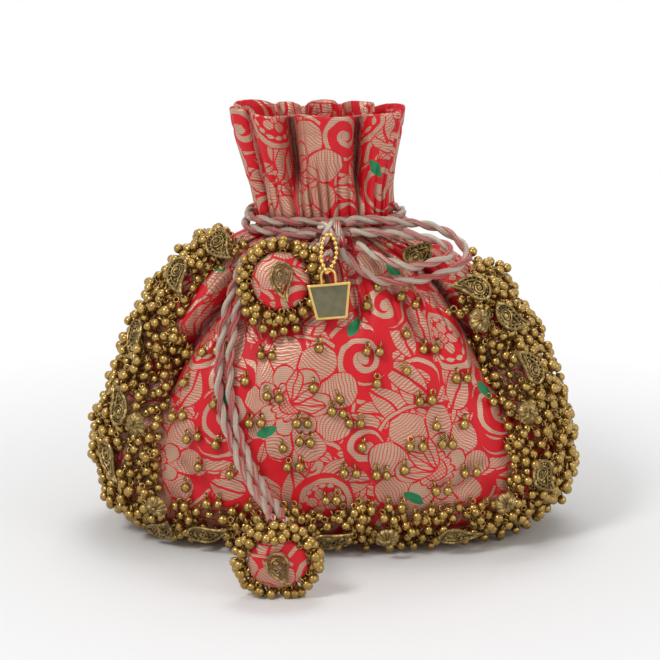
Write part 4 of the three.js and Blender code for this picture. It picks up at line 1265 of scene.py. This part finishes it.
def tassel_pad(name, which, cloth_place, node):
    """A brocade button; cloth_place is the spot of the pattern that it was cut from."""
    axes, origin = TASSELS[which]
    shape = bmesh.new()
    bmesh.ops.create_uvsphere(shape, u_segments=96, v_segments=40, radius=1)
    sheet_uv = shape.loops.layers.uv.new("UVMap")
    for v in shape.verts:
        reach = math.hypot(v.co.x, v.co.y)
        turn = math.atan2(v.co.y, v.co.x)
        gather = 1 + 0.014 * math.cos(22 * turn + 1.5 * math.sin(3 * turn)) * reach ** 6
        crown = math.copysign(abs(v.co.z) ** 0.82, v.co.z)
        v.co = Vector((v.co.x * PAD_RADIUS * gather, v.co.y * PAD_RADIUS * gather, PAD_THICK * (crown + 1) / 2))
    for face in shape.faces:
        face.smooth = True
        for corner in face.loops:
            corner[sheet_uv].uv = (corner.vert.co.x + cloth_place[0], corner.vert.co.y + cloth_place[1])
    turn = Matrix(axes).transposed().to_4x4()
    bmesh.ops.transform(shape, verts=shape.verts,
                        matrix=Matrix.Scale(MM, 4) @ Matrix.Translation(origin) @ turn)
    piece = piece_from(name, mesh_from(name, shape))
    put_on(piece, brocade_finish)
    fitted(piece, node)
    return piece


def tassel_bells(name, which, seed, node, extra):
    """Rings of bells round a button, with extra ones as (angle, reach, lift)."""
    axes, origin = TASSELS[which]
    chance = random.Random(seed)
    x_way, y_way, z_way = (np.array(a) for a in axes)
    spots = []
    for count, reach, lift in ((24, 15.4, 2.2), (26, 18.0, 4.2), (18, 16.2, 6.6)):
        for i in range(count):
            angle = 360 * (i + chance.uniform(-0.3, 0.3)) / count
            spots.append((angle, reach + chance.uniform(-0.5, 0.7), lift + chance.uniform(-0.6, 0.6)))
    spots += extra
    places = []
    for angle, reach, lift in spots:
        a = math.radians(angle)
        ray = x_way * math.cos(a) + y_way * math.sin(a)
        centre = np.array(origin) + ray * reach + z_way * lift
        centre[2] = max(centre[2], BELL_RADIUS + 0.1)
        places.append((centre, z_way, -ray))
    return bells_at(name, places, seed, node, loops_to=True)


short_pad = tassel_pad("tassel_pad_short", "short", (4, 60), "short_tassel_pad")
long_pad = tassel_pad("tassel_pad_long", "long", (-6, 96), "long_tassel_pad")
hanging = [(-112, 21.5, 3), (-98, 22.4, 4.5), (-86, 23.4, 2.5), (-74, 21.8, 4), (-60, 22, 3.5),
           (-126, 20.5, 4.5)]
cluster = [(62, 15.5, 9), (48, 17.5, 8.6), (36, 15, 9.4), (55, 20.5, 6), (28, 18.5, 8)]
short_bells = tassel_bells("tassel_bells_short", "short", 31, "short_tassel_bells", hanging + cluster)
long_bells = tassel_bells("tassel_bells_long", "long", 32, "long_tassel_bells",
                          [(95, 13.5, 8.6), (82, 14.5, 8.2), (108, 15, 8)])
short_motif = sewn_on("tassel_motif_short", open_paisley, "short_tassel_motif", scale=0.86)
long_motif = sewn_on("tassel_motif_long", open_paisley, "long_tassel_motif", scale=0.86)

# Charm and ball chain.
# A small polished brass plate, wider at the top, with a bare smoked face and a wire shackle. It
# hangs from the knot on a ball chain that goes through the shackle and round a strand of the knot.
CHAIN_BALL = 1.1
CHAIN_COUNT = 19
CHAIN_ROUTE = [
    (-2.4, -38.378, 147.2), (-4.9, -39.878, 144.4), (-5.6, -42.278, 140.6), (-5.6, -45.278, 137),
    (-4.2, -47.378, 133.6), (-2.8, -45.078, 131.2), (-1.2, -42.878, 133.4), (0.6, -41.478, 136.8),
    (0.9, -40.078, 140.6), (0.1, -38.878, 144.4),
]
polished = Finish("polished_brass")
where = polished.node("ShaderNodeTexCoord", {}, {}, 3)
smear = polished.noise(where, 300, 2)
polished_finish = polished.surface(
    Base_Color=polished.mix(smear, (0.62, 0.38, 0.10), (0.86, 0.60, 0.22)),
    Metallic=1.0,
    Roughness=smear * 0.12 + 0.12,
)
smoked = Finish("smoked_brass")
where = smoked.node("ShaderNodeTexCoord", {}, {}, 3)
smear = smoked.noise(where, 220, 2)
smoked_finish = smoked.surface(
    Base_Color=smoked.mix(smear, (0.10, 0.10, 0.065), (0.24, 0.21, 0.12)),
    Metallic=1.0,
    Roughness=smear * 0.1 + 0.1,
)

chain_line = smooth_route(CHAIN_ROUTE, 0.4 * MM, True)
run = np.concatenate([[0], np.cumsum(np.linalg.norm(np.diff(chain_line, axis=0), axis=1))])
balls = [tube_mesh(chain_line[:-1], 0.4 * MM, 1, True)]
for i in range(CHAIN_COUNT):
    at = run[-1] * (i + 0.5) / CHAIN_COUNT
    place = [np.interp(at, run, chain_line[:, k]) for k in range(3)]
    balls.append(ball_mesh(place, CHAIN_BALL * MM, 2))
chain = joined("chain_of_balls", balls)
put_on(chain, polished_finish)
fitted(chain, "ball_chain", "chain")

CHARM_TOP = 9.7
CHARM_BOTTOM = 7.0
CHARM_HIGH = 16.4
CHARM_THICK = 2.6
CHARM_HANGS = Vector((-2.8, -45.078, 131.2))
shape = bmesh.new()
corners = [(-CHARM_BOTTOM, -CHARM_HIGH / 2), (CHARM_BOTTOM, -CHARM_HIGH / 2), (CHARM_TOP, CHARM_HIGH / 2),
           (-CHARM_TOP, CHARM_HIGH / 2)]
front = shape.faces.new([shape.verts.new((x, -CHARM_THICK / 2, z)) for x, z in corners])
grown = bmesh.ops.extrude_face_region(shape, geom=[front])["geom"]
bmesh.ops.translate(shape, vec=(0, CHARM_THICK, 0),
                    verts=[v for v in grown if isinstance(v, bmesh.types.BMVert)])
bmesh.ops.recalc_face_normals(shape, faces=shape.faces)
bmesh.ops.bevel(shape, geom=shape.edges[:], offset=0.5, affect="EDGES", segments=3, profile=0.5, material=-1)
faces = [f for f in shape.faces if abs(f.normal.y) > 0.99 and f.calc_area() > 50]
for flat in faces:
    bmesh.ops.inset_region(shape, faces=[flat], thickness=0.7, depth=0)
    bmesh.ops.inset_region(shape, faces=[flat], thickness=0.25, depth=-0.2)
    flat.material_index = 1
for f in shape.faces:
    f.smooth = f.material_index == 0
hang = Matrix.Translation(CHARM_HANGS) @ Matrix.Rotation(math.radians(-5), 4, "Y")
body_middle = Matrix.Translation((0, 0, -21.1 + CHARM_HIGH / 2))
bmesh.ops.transform(shape, verts=shape.verts, matrix=Matrix.Scale(MM, 4) @ hang @ body_middle)
slab = mesh_from("slab", shape)
arch = []
for t in np.linspace(0, math.pi, 13):
    arch.append((3.1 * math.cos(t), 0, -0.9 + 3.1 * math.sin(t) - 0.6))
arch = [(3.1, 0, -5.4), (3.1, 0, -3.4), *arch, (-3.1, 0, -3.4), (-3.1, 0, -5.4)]
arch = [hang @ Vector(p) for p in arch]
shackle = tube_mesh(smooth_route(arch, 0.4 * MM), 0.62 * MM, 2)
charm = joined("charm_plate", [slab, shackle])
charm.data.materials.append(polished_finish)
charm.data.materials.append(smoked_finish)
fitted(charm, "charm", "charm")

# Lining, seen down the mouth.
# A plain dark red satin strip sewn into a ring, hung inside the brocade and caught under the
# turned hem.
lining_levels = [r for r in levels if 11 < r < RIM - 8][::2]
inside = cloth_points(lining_levels, 1.9)[:, ::2]
count = inside.shape[1]
shape = bmesh.new()
grid = [[shape.verts.new(p * MM) for p in row] for row in inside]
for low_row, high_row in zip(grid, grid[1:]):
    for c in range(count):
        shape.faces.new((low_row[c], high_row[c], high_row[(c + 1) % count], low_row[(c + 1) % count]))
for f in shape.faces:
    f.smooth = True
lining = piece_from("satin_lining", mesh_from("satin_lining", shape))
satin = Finish("lining_satin")
where = satin.node("ShaderNodeTexCoord", {}, {}, 3)
crumple = satin.noise(where, 70, 3)
lining_finish = satin.surface(
    Base_Color=satin.mix(crumple, (0.16, 0.004, 0.010), (0.32, 0.010, 0.022)),
    Roughness=crumple * 0.2 + 0.38,
    Normal=satin.bump(crumple, 0.6 * MM, 0.5),
)
put_on(lining, lining_finish)
fitted(lining, "lining")

# Lining base, an oval of the same satin sewn to the foot of the strip.
shape = bmesh.new()
shape.faces.new([shape.verts.new(p * MM) for p in inside[0]])
lining_base = piece_from("satin_lining_base", mesh_from("satin_lining_base", shape))
put_on(lining_base, lining_finish)
fitted(lining_base)
